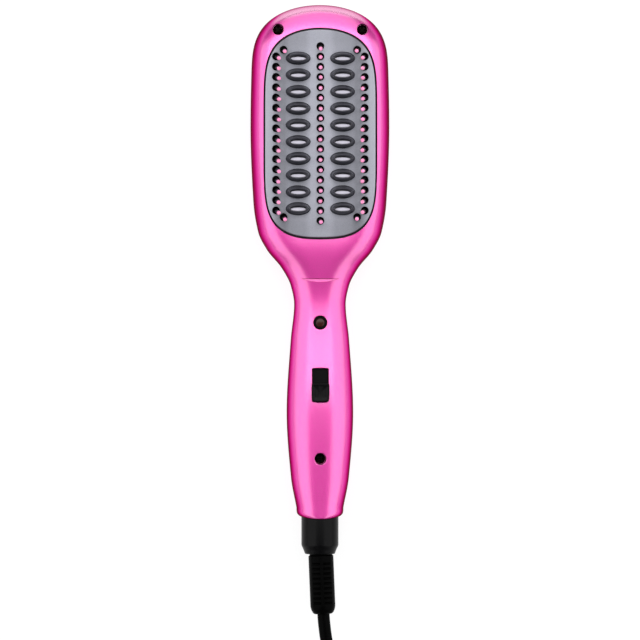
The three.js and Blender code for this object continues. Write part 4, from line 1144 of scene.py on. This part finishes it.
# The collar: a shaft, a flange behind the seat, a journal in it, and the drum with its
# chamfer and the socket for the boot, all turned from one profile.
def collarPiece():
    c = collar
    (flangeStart, flangeEnd), end = c["flangeAt"], c["endAt"]
    chamferStart = end - c["chamfer"][-1][1]
    profile = [
        (0.05, c["shaftEndAt"]), (c["shaft"], c["shaftEndAt"]), (c["shaft"], flangeStart),
        (c["flange"], flangeStart), (c["flange"], flangeEnd), (c["journal"], flangeEnd),
        (c["journal"], c["startAt"]), (c["radius"], c["startAt"]),
        *[(c["radius"] - inwards, chamferStart + along) for inwards, along in c["chamfer"]],
        (c["socket"], end), (c["socket"], end - c["socketDepth"]), (0.05, end - c["socketDepth"]),
    ]
    return makeObject("swivelCollar", [turnedAlong(rounded(profile, 0.55), parting, 112)], 50)


# The boot is turned, then slots are cut into its front and back on both sides of a
# spine, and all of it leans about a point inside the collar. A slot is a squarish oval
# carried outwards, smaller at its inner end.
def bootPiece():
    b = boot
    radius, root, end = b["radius"], b["root"], b["root"] + b["length"]
    neck, hole, (neckEnd, bodyStart) = radius - b["neckInset"], b["holeRadius"], b["neckEnd"]
    profile = rounded([
        (0.05, root - b["insert"]), (neck, root - b["insert"]), (neck, root + neckEnd),
        (radius, root + bodyStart),
        *[(radius - inwards, end - back) for inwards, back in b["shoulder"]],
        (b["tipRadius"], end), (hole, end), (hole, end - b["holeDepth"]),
        (0.05, end - b["holeDepth"])], 0.5, 6)
    body = makeObject("strainRelief", [turnedAlong(profile + (0, b["pivotAt"]), parting)])
    out, size = np.array([0, 0.35, radius])[:, None], np.array([0.8, 1, 1])[:, None]
    t = around(20)
    slot, faces = stack(np.stack([
        out + 0 * t, size * signedPower(np.cos(t), 0.5) * b["slotWidth"] / 2,
        size * signedPower(np.sin(t), 0.5) * b["slotDepth"]], -1))
    slotAt = b["pivotAt"] + root + b["firstSlot"] + np.arange(b["ribs"]) * b["pitch"]
    places = np.array([
        (b["spine"] / 2, yAt(at), parting + face * radius) for at in slotAt for face in (-1, 1)])
    carve(body, [cutter(*[
        repeated((slot * (side, 1, 1), faces), places * (side, 1, 1)) for side in (1, -1)
    ])], sharpAngle=40)
    pivot = Matrix.Translation((0, yAt(b["pivotAt"]) * mm, 0))
    body.data.transform(pivot @ Matrix.Rotation(math.radians(b["lean"]), 4, "Z") @ pivot.inverted())
    return body


swivelCollar = collarPiece()
strainRelief = bootPiece()
print("collar and boot made")


# Tie and plug

tie = {
    "width": 10.0,
    "band": 1.2,
    "gap": 0.45,
    "corner": 1.8,
    "soft": 0.35,
    "seam": 0.5,  # from an edge, on the inside
}
plug = {
    "place": (32.6, -294.0, 7.3),
    # distances along it with half its width and half its height there
    "form": (
        (0, 4.4, 4.4), (1.0, 4.6, 4.6), (9, 5.2, 5.2), (14, 9.0, 6.2), (20, 12.4, 7.0),
        (33.0, 12.9, 7.0), (34.4, 12.5, 6.7), (35.0, 11.9, 6.1)),
    "length": 35.0,
    "grips": 4,
    "gripSpan": (19, 32),
    "gripFade": 3,
    "gripDepth": 0.45,
    "ribSpan": (1.2, 9),
    "ribPitch": 2.4,
    "ribDepth": 0.3,
    "bladeSpacing": 12.7,
    "blade": (1.5, 16.5, 6.35),
    "bladeGap": 0.4,
    "bladeHoleAt": 12.5,
    "bladeHole": 1.5,
}


# The tie: a flat band with soft edges carried round a rectangle with round corners.
def tiePiece():
    s = tie
    outermost = lead["foldRadius"] + lead["pitch"] * lead["turns"] / 2
    half = outermost - lead["waist"] + lead["diameter"] / 2 + s["gap"]
    low = lead["aboveFloor"] + lead["tieLift"] - s["gap"]
    high = low + lead["layerStep"] + lead["diameter"] + 2 * s["gap"]
    loop = roundedLoop(0, crownY, 2 * half, high - low, s["corner"], 10)
    loop = loop + (lead["centreX"], (low + high) / 2)
    band, edge, middle = s["band"], s["width"] / 2, lead["top"] - lead["run"] / 2
    section = rounded([
        (0, s["seam"] - edge), (0, -edge), (band, -edge), (band, edge), (0, edge),
        (0, edge - s["seam"])], s["soft"], 4)
    rings = np.array([atHeight(offsetLoop(loop, out), middle + along) for out, along in section])
    faces = gridFaces(*rings.shape[:2], closeRows=True, closeColumns=True)
    return makeObject("hankTie", [(rings[..., [0, 2, 1]].reshape(-1, 3), faces)], 45)


# The plug's body: superellipses whose half sides follow a smooth curve along it, with
# shallow grips pressed into its sides and ribs round its neck.
def plugPiece():
    p = plug
    (x, y, z), length, form = p["place"], p["length"], np.array(p["form"])
    along = np.unique(np.r_[np.linspace(0, length, 90), form[:, 0]])
    across, high = (smoothThrough(form[:, 0], half)(along) for half in form[:, 1:].T)
    (start, end), fade, (ribStart, ribEnd) = p["gripSpan"], p["gripFade"], p["ribSpan"]
    grip = np.clip((along - start) / fade, 0, 1) * np.clip((end - along) / fade, 0, 1)
    wave = np.cos((along - start) / (end - start) * 2 * np.pi * p["grips"])
    grip = grip * (0.5 - 0.5 * wave)
    groove = np.cos(along * 2 * np.pi / p["ribPitch"]) > 0.2
    groove = groove & (along > ribStart) & (along < ribEnd)
    across = across - p["gripDepth"] * grip - p["ribDepth"] * groove
    high = high - p["ribDepth"] * groove
    t = around(72)
    return makeObject("plugBody", [stack(np.stack([
        x + across[:, None] * signedPower(np.cos(t), 0.6), y - along[:, None] + 0 * t,
        z + high[:, None] * signedPower(np.sin(t), 0.6)], -1))], 40)


# A flat blade with a nearly square section that narrows over its end, and a round hole
# through it.
def bladePiece(name, side):
    p = plug
    thickness, length, height = p["blade"]
    x, y, z = p["place"]
    x, y = x + side * p["bladeSpacing"] / 2, y - p["length"]
    t = around(24)
    along = np.array([[0], [length - 1.6], [length - 0.7], [length - 0.15], [length]])
    narrow = np.array([[1], [1], [0.86], [0.66], [0.5]])
    piece = makeObject(name, [stack(np.stack([
        x + narrow * signedPower(np.cos(t), 0.25) * thickness / 2,
        y - p["bladeGap"] - along + 0 * t,
        z + narrow**0.3 * signedPower(np.sin(t), 0.25) * height / 2], -1))], 40)
    points, faces = turnedUp([(p["bladeHole"], -3), (p["bladeHole"], 3)], 0, 0, 28)
    return carve(piece, [cutter((points[:, [2, 1, 0]] + (x, y - p["bladeHoleAt"], z), faces))])


hankTie = tiePiece()
plugBody = plugPiece()
bladeLeft, bladeRight = bladePiece("plugBladeLeft", -1), bladePiece("plugBladeRight", 1)
print("tie and plug made")


# Materials


# An sRGB hex colour as the linear values that shaders take. Anything else stays.
def toLinear(colour):
    if not isinstance(colour, str):
        return colour
    value = np.array([int(colour[i:i + 2], 16) for i in (0, 2, 4)]) / 255
    value = np.where(value <= 0.04045, value / 12.92, ((value + 0.055) / 1.055) ** 2.4)
    return (*value.tolist(), 1.0)


# Adds a node with its settings. What its sockets take is a value or another node's
# output, which is linked; a colour ramp's stops go from left to right. A Mix node's
# sockets share their names, so they go by number: 0 is its factor, 2 and 3 its numbers,
# 6 and 7 its colours.
def addNode(tree, kind, takes=None, stops=(), **settings):
    node = tree.nodes.new("ShaderNode" + kind)
    for name, value in settings.items():
        setattr(node, name, value)
    for socket, source in (takes or {}).items():
        if isinstance(source, bpy.types.NodeSocket):
            tree.links.new(source, node.inputs[socket])
        else:
            node.inputs[socket].default_value = toLinear(source)
    for index, (position, colour) in enumerate(stops):
        points = node.color_ramp.elements
        point = points[index] if index < 2 else points.new(position)
        point.position, point.color = position, toLinear(colour)
    return node


# A material with a Principled surface. The surface's own sockets hold its constants.
def startMaterial(name, surface):
    material = bpy.data.materials.new(name)
    material.use_nodes = True
    tree = material.node_tree
    tree.nodes.clear()
    shader = addNode(tree, "BsdfPrincipled", surface)
    addNode(tree, "OutputMaterial", {"Surface": shader.outputs["BSDF"]})
    place = addNode(tree, "TexCoord").outputs["Object"]
    return material, tree, shader, place


# Scale of a pattern on Object coordinates, in metres, from its real size.
def perMetre(size):
    return 1 / (size * mm)


lacquer = {
    "edgeTint": "8c0548",
    "coat": 0.03,
    "wideRoughness": 0.46,
    "paleRoughness": 0.265,
    # colours from where the surface faces the eye to where it turns away; the darker ones are
    # partly painted shade at the sides
    "wide": (
        (0.0, "dc109c"), (0.24, "dc0e9c"), (0.36, "dc0c9a"), (0.48, "d4048a"), (0.7, "a00462"),
        (0.86, "7c0448")),
    "pale": (
        (0.27, "ffc8e4"), (0.4, "fc88d0"), (0.54, "ec4cac"), (0.72, "a00462"), (0.86, "7c0448")),
    "flake": 0.4,  # mm, drawn coarser than real ones so that they show
    "paleShare": (0.17, 0.31),
    "peel": 2.2,  # mm between the waves of the spray
    "crownBulge": 10.8,  # per metre, how the crown's outline curves
    "crownShineAt": (5.2, 2.6),  # mm from the tip where the painted highlight starts, and where it is full
    "crownSides": (30, 14),  # mm from the middle, the same
    # the pale sheen's share, and how much of the dark edge is kept, in the crown's painted
    # highlight
    "crownShare": 0.8,
    "crownTurn": 0.3,
}


# A painted highlight at the crown's tip, from 0 to 1: it grows over the last few millimetres along
# the outline, less so towards the corners. The outline there is close to a parabola, y = tip -
# bulge x squared.
def paintedCrownHighlight(tree, place):
    k = lacquer
    shineStart, crownShine = ((crownY - away) * mm for away in k["crownShineAt"])
    outer, inner = ((away * mm) ** 2 for away in k["crownSides"])
    axes = addNode(tree, "SeparateXYZ", {"Vector": place}).outputs
    squared = addNode(
        tree, "Math", {0: axes["X"], 1: axes["X"]}, operation="MULTIPLY").outputs[0]
    along = addNode(
        tree, "Math", {0: squared, 1: k["crownBulge"], 2: axes["Y"]},
        operation="MULTIPLY_ADD").outputs[0]
    near = addNode(
        tree, "MapRange", {"Value": along, "From Min": shineStart, "From Max": crownShine},
        interpolation_type="SMOOTHSTEP").outputs["Result"]
    middle = addNode(
        tree, "MapRange", {"Value": squared, "From Min": outer, "From Max": inner},
        interpolation_type="SMOOTHSTEP").outputs["Result"]
    return addNode(tree, "Math", {0: near, 1: middle}, operation="MULTIPLY").outputs[0]


# Vacuum-metallised ABS under a candy pink lacquer. Its two sheens are mixed by the
# flakes: a wide magenta one, and a narrower pale one from the flakes that lie level.
# Both deepen to dark magenta where the surface turns away from the eye. That is partly the
# lacquer's own flop, as the light's way through it gets long there, and partly painted shade that
# darkens the sides.
def pinkLacquer():
    k = lacquer
    surface = {
        "Metallic": 1.0, "Coat Weight": k["coat"], "Coat Roughness": 0.1,
        "Specular Tint": k["edgeTint"]}
    material, tree, wide, place = startMaterial(
        "pinkLacquerOnMetallisedAbs", {**surface, "Roughness": k["wideRoughness"]})
    pale = addNode(tree, "BsdfPrincipled", {**surface, "Roughness": k["paleRoughness"]})
    # A painted highlight at the crown's tip: there the dark edge is held back and the pale sheen
    # takes most of the mix.
    crownShine = paintedCrownHighlight(tree, place)
    # Partly real flop, partly painted shade: the facing darkens both colours towards the edges.
    layer = addNode(tree, "LayerWeight", {"Blend": 0.5}).outputs["Facing"]
    less = addNode(tree, "MapRange", {"Value": crownShine, "To Min": 1.0, "To Max": k["crownTurn"]})
    facing = addNode(tree, "Math", {0: layer, 1: less.outputs["Result"]}, operation="MULTIPLY")
    for shader, stops in ((wide, k["wide"]), (pale, k["pale"])):
        ramp = addNode(tree, "ValToRGB", {"Fac": facing.outputs[0]}, stops)
        tree.links.new(ramp.outputs["Color"], shader.inputs["Base Color"])
    flakes = addNode(tree, "TexNoise", {
        "Vector": place, "Scale": perMetre(k["flake"]), "Detail": 2.0, "Roughness": 0.6})
    least, most = k["paleShare"]
    level = addNode(tree, "MapRange", {
        "Value": flakes.outputs["Fac"], "From Min": 0.3, "From Max": 0.7,
        "To Min": least, "To Max": most})
    # In the crown's painted highlight the pale sheen's share rises to crownShare.
    share = addNode(
        tree, "Mix", {0: crownShine, 2: level.outputs["Result"], 3: k["crownShare"]}, data_type="FLOAT")
    both = addNode(tree, "MixShader", {
        0: share.outputs["Result"], 1: wide.outputs["BSDF"], 2: pale.outputs["BSDF"]})
    tree.links.new(both.outputs[0], tree.nodes["Material Output"].inputs["Surface"])
    peel = addNode(
        tree, "TexNoise", {"Vector": place, "Scale": perMetre(k["peel"]), "Detail": 1.0})
    bump = addNode(
        tree, "Bump", {"Height": peel.outputs["Fac"], "Strength": 0.05, "Distance": 0.02 * mm})
    tree.links.new(bump.outputs["Normal"], wide.inputs["Coat Normal"])
    tree.links.new(bump.outputs["Normal"], pale.inputs["Normal"])
    return material


# Painted shade on the plate: lightest along its middle, darkest between the teeth and the outer
# pins, and darker towards its ends. How light it is at distances from the middle, in mm, and near
# the plate's ends.
plateShade = {
    "edge": 30.0,
    "levels": (
        (0.5, 1.0), (5.0, 0.98), (8.0, 0.8), (16.0, 0.72), (18.5, 0.56), (21.0, 0.6),
        (24.5, 0.86), (29.0, 0.9)),
    "endsFrom": 38.0,
    "endsTo": 50.0,
    "endsLevel": 0.74,
}


# Painted shade: a colour made darker by how far across and along the plate a point lies.
def paintedPlateShade(tree, place, colour, shadeTable):
    axes = addNode(tree, "SeparateXYZ", {"Vector": place}).outputs
    side = addNode(tree, "Math", {0: axes["X"]}, operation="ABSOLUTE").outputs[0]
    across = addNode(tree, "MapRange", {"Value": side, "From Max": shadeTable["edge"] * mm})
    shadeRamp = addNode(
        tree, "ValToRGB", {"Fac": across.outputs["Result"]},
        [(at / shadeTable["edge"], (level, level, level, 1)) for at, level in shadeTable["levels"]])
    shadedAcross = addNode(
        tree, "Mix", {0: 1.0, 6: colour, 7: shadeRamp.outputs["Color"]},
        data_type="RGBA", blend_type="MULTIPLY")
    middle = yAt(openings["windowAt"]) * mm
    off = addNode(tree, "Math", {0: axes["Y"], 1: middle}, operation="SUBTRACT").outputs[0]
    off = addNode(tree, "Math", {0: off}, operation="ABSOLUTE").outputs[0]
    ends = addNode(tree, "MapRange", {
        "Value": off, "From Min": shadeTable["endsFrom"] * mm, "From Max": shadeTable["endsTo"] * mm,
        "To Min": 1.0, "To Max": shadeTable["endsLevel"]}, interpolation_type="SMOOTHSTEP")
    return addNode(
        tree, "VectorMath", {0: shadedAcross.outputs[2], "Scale": ends.outputs["Result"]},
        operation="SCALE").outputs[0]


# Die-cast aluminium with a sprayed ceramic coat: a satin grey with a fine dry grain, and painted
# shade that darkens it towards the third colour in corners and crevices, by how enclosed a point
# is.
def ceramicCoat(name, colours, roughness, metallic, shadeTable=None, extra=None):
    dark, light, corner = colours
    material, tree, shader, place = startMaterial(
        name, {"Metallic": metallic, "Roughness": roughness, **(extra or {})})
    grain = addNode(tree, "TexNoise", {
        "Vector": place, "Scale": perMetre(0.35), "Detail": 4.0, "Roughness": 0.65}).outputs["Fac"]
    ramp = addNode(tree, "ValToRGB", {"Fac": grain}, ((0.35, dark), (0.68, light)))
    # Painted shade: the third colour, from ambient occlusion, fills the corners and crevices.
    openness = addNode(tree, "AmbientOcclusion", {"Distance": 4.5 * mm}, samples=6)
    cornerShade = addNode(tree, "MapRange", {
        "Value": openness.outputs["AO"], "From Min": 0.2, "From Max": 0.74,
        "To Min": 1.0, "To Max": 0.0})
    colour = addNode(
        tree, "Mix", {0: cornerShade.outputs["Result"], 6: ramp.outputs["Color"], 7: corner},
        data_type="RGBA").outputs[2]
    # The plate's painted shade, when a table is given.
    if shadeTable:
        colour = paintedPlateShade(tree, place, colour, shadeTable)
    tree.links.new(colour, shader.inputs["Base Color"])
    bump = addNode(tree, "Bump", {"Height": grain, "Strength": 0.25, "Distance": 0.02 * mm})
    tree.links.new(bump.outputs["Normal"], shader.inputs["Normal"])
    return material


# Anything moulded in one colour: a broad cloudiness in the colour and a fine spark
# texture from the mould. Grain and depth of the texture are in mm.
def moulded(name, dark, light, roughness, grain, depth, extra=None):
    material, tree, shader, place = startMaterial(name, {"Roughness": roughness, **(extra or {})})
    cloud = addNode(
        tree, "TexNoise", {"Vector": place, "Scale": perMetre(grain * 9), "Detail": 3.0})
    ramp = addNode(
        tree, "ValToRGB", {"Fac": cloud.outputs["Fac"]}, ((0.35, dark), (0.65, light)))
    tree.links.new(ramp.outputs["Color"], shader.inputs["Base Color"])
    spark = addNode(tree, "TexNoise", {"Vector": place, "Scale": perMetre(grain), "Detail": 2.0})
    bump = addNode(
        tree, "Bump", {"Height": spark.outputs["Fac"], "Strength": 0.35, "Distance": depth * mm})
    tree.links.new(bump.outputs["Normal"], shader.inputs["Normal"])
    return material


# Drawn or pressed metal: a long fine grain along the brush and small stains.
def drawnMetal(name, dark, light, roughness):
    material, tree, shader, place = startMaterial(name, {"Metallic": 1.0, "Roughness": roughness})
    along = addNode(tree, "Mapping", {"Vector": place, "Scale": (1.0, 0.08, 1.0)})
    lines = addNode(tree, "TexNoise", {
        "Vector": along.outputs["Vector"], "Scale": perMetre(0.25), "Detail": 3.0}).outputs["Fac"]
    ramp = addNode(tree, "ValToRGB", {"Fac": lines}, ((0.3, dark), (0.7, light)))
    tree.links.new(ramp.outputs["Color"], shader.inputs["Base Color"])
    bump = addNode(tree, "Bump", {"Height": lines, "Strength": 0.2, "Distance": 0.01 * mm})
    tree.links.new(bump.outputs["Normal"], shader.inputs["Normal"])
    return material


finishes = {
    # a candy pink with a soft metal sheen
    "pinkLacquer": pinkLacquer(),
    # the plate's satin grey; the teeth's walls darkened as painted shade, their rims and floors
    # lightened as painted highlights
    "plateCoat": ceramicCoat(
        "ceramicCoatOnAluminium", ("9c9da7", "aaabb5", "62646c"), 0.4, 0.7, plateShade),
    "toothWallShade": ceramicCoat(
        "toothWallsPaintedShade", ("20202a", "2a2a34", "0e0e14"), 0.34, 0.1,
        extra={"Specular IOR Level": 0.25}),
    "toothRimHighlight": ceramicCoat("toothRimsPaintedHighlight", ("32323a", "3e3e46", "202026"), 0.4, 0.2),
    "toothFloorHighlight": ceramicCoat("toothFloorsPaintedHighlight", ("acaab4", "bab8c2", "a09ea8"), 0.42, 0.9),
    # pale pink, with light that soaks into it
    "bristleNylon": moulded(
        "pinkNylonBristle", "e684b4", "f29cc6", 0.36, 0.3, 0.01,
        {"Subsurface Weight": 0.25, "Subsurface Scale": 0.001}),
    # deep blacks: the knob and collar with a slight gloss, the boot and lead duller
    "blackAbs": moulded(
        "blackAbsSparkTexture", "040405", "070708", 0.3, 0.18, 0.012,
        {"Specular IOR Level": 0.09}),
    "blackPvc": moulded(
        "blackSoftPvc", "020202", "030303", 0.36, 0.35, 0.015, {"Specular IOR Level": 0.02}),
    # a dark red-brown that still shines, because its lamp is off
    "smokedAcrylic": moulded(
        "smokedAcrylic", "2c100c", "381612", 0.2, 0.6, 0.002, {"Specular IOR Level": 0.25}),
    # metals with the streaks of drawing or rolling
    "blackOxide": drawnMetal("blackOxideSteel", "0c0a08", "1a1714", 0.4),
    "zincSteel": drawnMetal("zincPlatedSteel", "84878c", "a2a5a9", 0.36),
    "brass": drawnMetal("springBrass", "a88444", "c4a262", 0.3),
    "nickel": drawnMetal("nickelPlatedBrass", "a8a49a", "c8c4ba", 0.25),
    # chalky white ceramic, flaky tan mica and a green board
    "alumina": moulded("aluminaCeramic", "dcd8cc", "eeeae0", 0.6, 0.25, 0.02),
    "mica": moulded("micaSheet", "a89c74", "cabf98", 0.5, 0.8, 0.04),
    "fr4": moulded("glassEpoxyLaminate", "164a2c", "1f5f3a", 0.35, 0.2, 0.006),
    # dull engineering plastics
    "pps": moulded("glassFilledPps", "101012", "1a1a1d", 0.5, 0.25, 0.02),
    "pbt": moulded("whitePbt", "d6d4cc", "e6e4de", 0.45, 0.25, 0.012),
    # rubbery wire insulation, and a glossy tinted lamp
    "redSilicone": moulded("redSiliconeInsulation", "8a2620", "a23128", 0.45, 0.3, 0.01),
    "whiteSilicone": moulded("whiteSiliconeInsulation", "d0cec8", "e2e0da", 0.45, 0.3, 0.01),
    "redEpoxy": moulded(
        "redTintedEpoxy", "4a0e0a", "6a1812", 0.15, 0.5, 0.002, {"Coat Weight": 0.4}),
}

# which inner nodes, kept as they are, get each finish
innerFinishes = {
    "pps": ("plate_frame", "triac", "film_capacitor", "slide_switch", "switch_lever"),
    "alumina": ("ptc_heater_left", "ptc_heater_right", "thermistor", "dropper_resistor"),
    "zincSteel": (
        "heater_clamp", "clamp_screw_1", "clamp_screw_2", "clamp_screw_3", "clamp_screw_4",
        "heat_shield"),
    "mica": ("insulation_pad",),
    "nickel": ("thermal_fuse",),
    "fr4": ("control_board",),
    "pbt": ("terminal_block", "contact_block_live", "contact_block_neutral"),
    "redEpoxy": ("led_lamp",),
    "brass": (
        "slip_ring_live", "slip_ring_neutral", "contact_spring_live", "contact_spring_neutral"),
    "redSilicone": ("heater_wire_left", "supply_wire_live"),
    "whiteSilicone": ("heater_wire_right", "supply_wire_neutral"),
}
for finish, nodes in innerFinishes.items():
    for node in nodes:
        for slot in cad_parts[node].material_slots:
            slot.material = finishes[finish]


# Clearing a mesh's materials sets its faces back to the first slot, so their slots are
# kept and set again.
def paint(piece, *names):
    slots = np.zeros(len(piece.data.polygons), int)
    piece.data.polygons.foreach_get("material_index", slots)
    piece.data.materials.clear()
    for name in names:
        piece.data.materials.append(finishes[name])
    piece.data.polygons.foreach_set("material_index", np.minimum(slots, len(names) - 1))


print("materials made")


# The body that carries each piece, its slot, the node it stands for, its finishes

carried = [
    (frontShell, "root", "pink_housing", "front_shell", "pinkLacquer"),
    (rearShell, "root", "pink_housing", "rear_shell", "pinkLacquer"),
    (heatedPlate, "root", "plate_coating", "heater_plate",
     "plateCoat", "toothWallShade", "toothFloorHighlight", "toothRimHighlight"),
    (indicatorLens, "root", "smoked_lens", "led_window", "smokedAcrylic", "blackAbs"),
    (switchKnob, "switch", "black_plastic", "switch_knob", "blackAbs"),
    (swivelCollar, "swivel", "black_plastic", "swivel_collar", "blackAbs"),
    (strainRelief, "swivel", "black_rubber", "strain_relief", "blackPvc"),
    (hankTie, "root", "black_rubber", "hank_tie", "blackPvc"),
    (plugBody, "root", "black_plastic", "plug_body", "blackAbs"),
    (bladeLeft, "root", "brass", "plug_blade_left", "nickel"),
    (bladeRight, "root", "brass", "plug_blade_right", "nickel"),
    *[(piece, "root", "dark_steel", node, "blackOxide") for node, piece in screws.items()],
    *[(piece, "root", "bristle_pink", node, "bristleNylon", "blackAbs")
      for node, piece in bristles.items()],
]
for piece, body, slot, node, *names in carried:
    paint(piece, *names)
    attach(piece, body)
    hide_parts(node)

paint(cord, "blackPvc")
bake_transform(cord)
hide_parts("mains_lead", "lead_hank", "plug_lead")
print("pieces carried")


# Floor and light

studio = {
    # place and size in metres, power in watts
    "lamps": {
        "overhead": ((0.0, 1.0, 3.4), (4.0, 1.6), 60),
        "left": ((-1.6, -0.2, 1.15), (2.8, 2.2), 32),
        "right": ((1.6, -0.2, 1.15), (2.8, 2.2), 32),
        "crown": ((0.0, 1.7, 1.12), (1.8, 2.0), 16),
    },
    "sky": "f4f4f6",
    "fill": 0.2,
    "paper": "d8d8d8",
    "paperSeen": "6c6c6c",  # the lamps bring this and the glow up to white
    "paperGlow": 0.86,
}


# A softbox that faces the brush. Its width lies level, its height is seen upright.
def areaLight(name, place, size, power):
    light = bpy.data.lights.new(name, "AREA")
    light.shape = "RECTANGLE"
    light.size, light.size_y = size
    light.energy = power
    lamp = bpy.data.objects.new(name, light)
    lamp.location = place
    x, y, z = place
    lamp.rotation_euler = (math.atan2(math.hypot(x, y), z), 0, math.atan2(-y, -x) - math.pi / 2)
    scene.collection.objects.link(lamp)


for name, lamp in studio["lamps"].items():
    areaLight(name + "Softbox", *lamp)
world = bpy.data.worlds.new("studio")
world.use_nodes = True
world.node_tree.nodes["Background"].inputs["Color"].default_value = toLinear(studio["sky"])
world.node_tree.nodes["Background"].inputs["Strength"].default_value = studio["fill"]
scene.world = world


# Matt white paper. The eye and the reflections see it as white, with the shadow on it,
# while the light that it throws back on the brush comes from its plain colour.
def paperFloor():
    material, tree, shader, place = startMaterial(
        "whitePaperFloor", {"Roughness": 0.9, "Emission Color": "ffffff"})
    rays = addNode(tree, "LightPath").outputs
    seen = rays["Is Camera Ray"]
    for ray in ("Is Glossy Ray", "Is Transmission Ray"):
        seen = addNode(
            tree, "Math", {0: seen, 1: rays[ray]}, operation="ADD", use_clamp=True).outputs[0]
    colour = addNode(
        tree, "Mix", {0: seen, 6: studio["paper"], 7: studio["paperSeen"]}, data_type="RGBA")
    glow = addNode(tree, "Math", {0: seen, 1: studio["paperGlow"]}, operation="MULTIPLY")
    tree.links.new(colour.outputs[2], shader.inputs["Base Color"])
    tree.links.new(glow.outputs[0], shader.inputs["Emission Strength"])
    return material


floor = makeObject("floor", [prism(square * 4000.0, -2.0, -0.02)])
floor.data.materials.append(paperFloor())
print("studio lit")

bpy.context.view_layer.update()
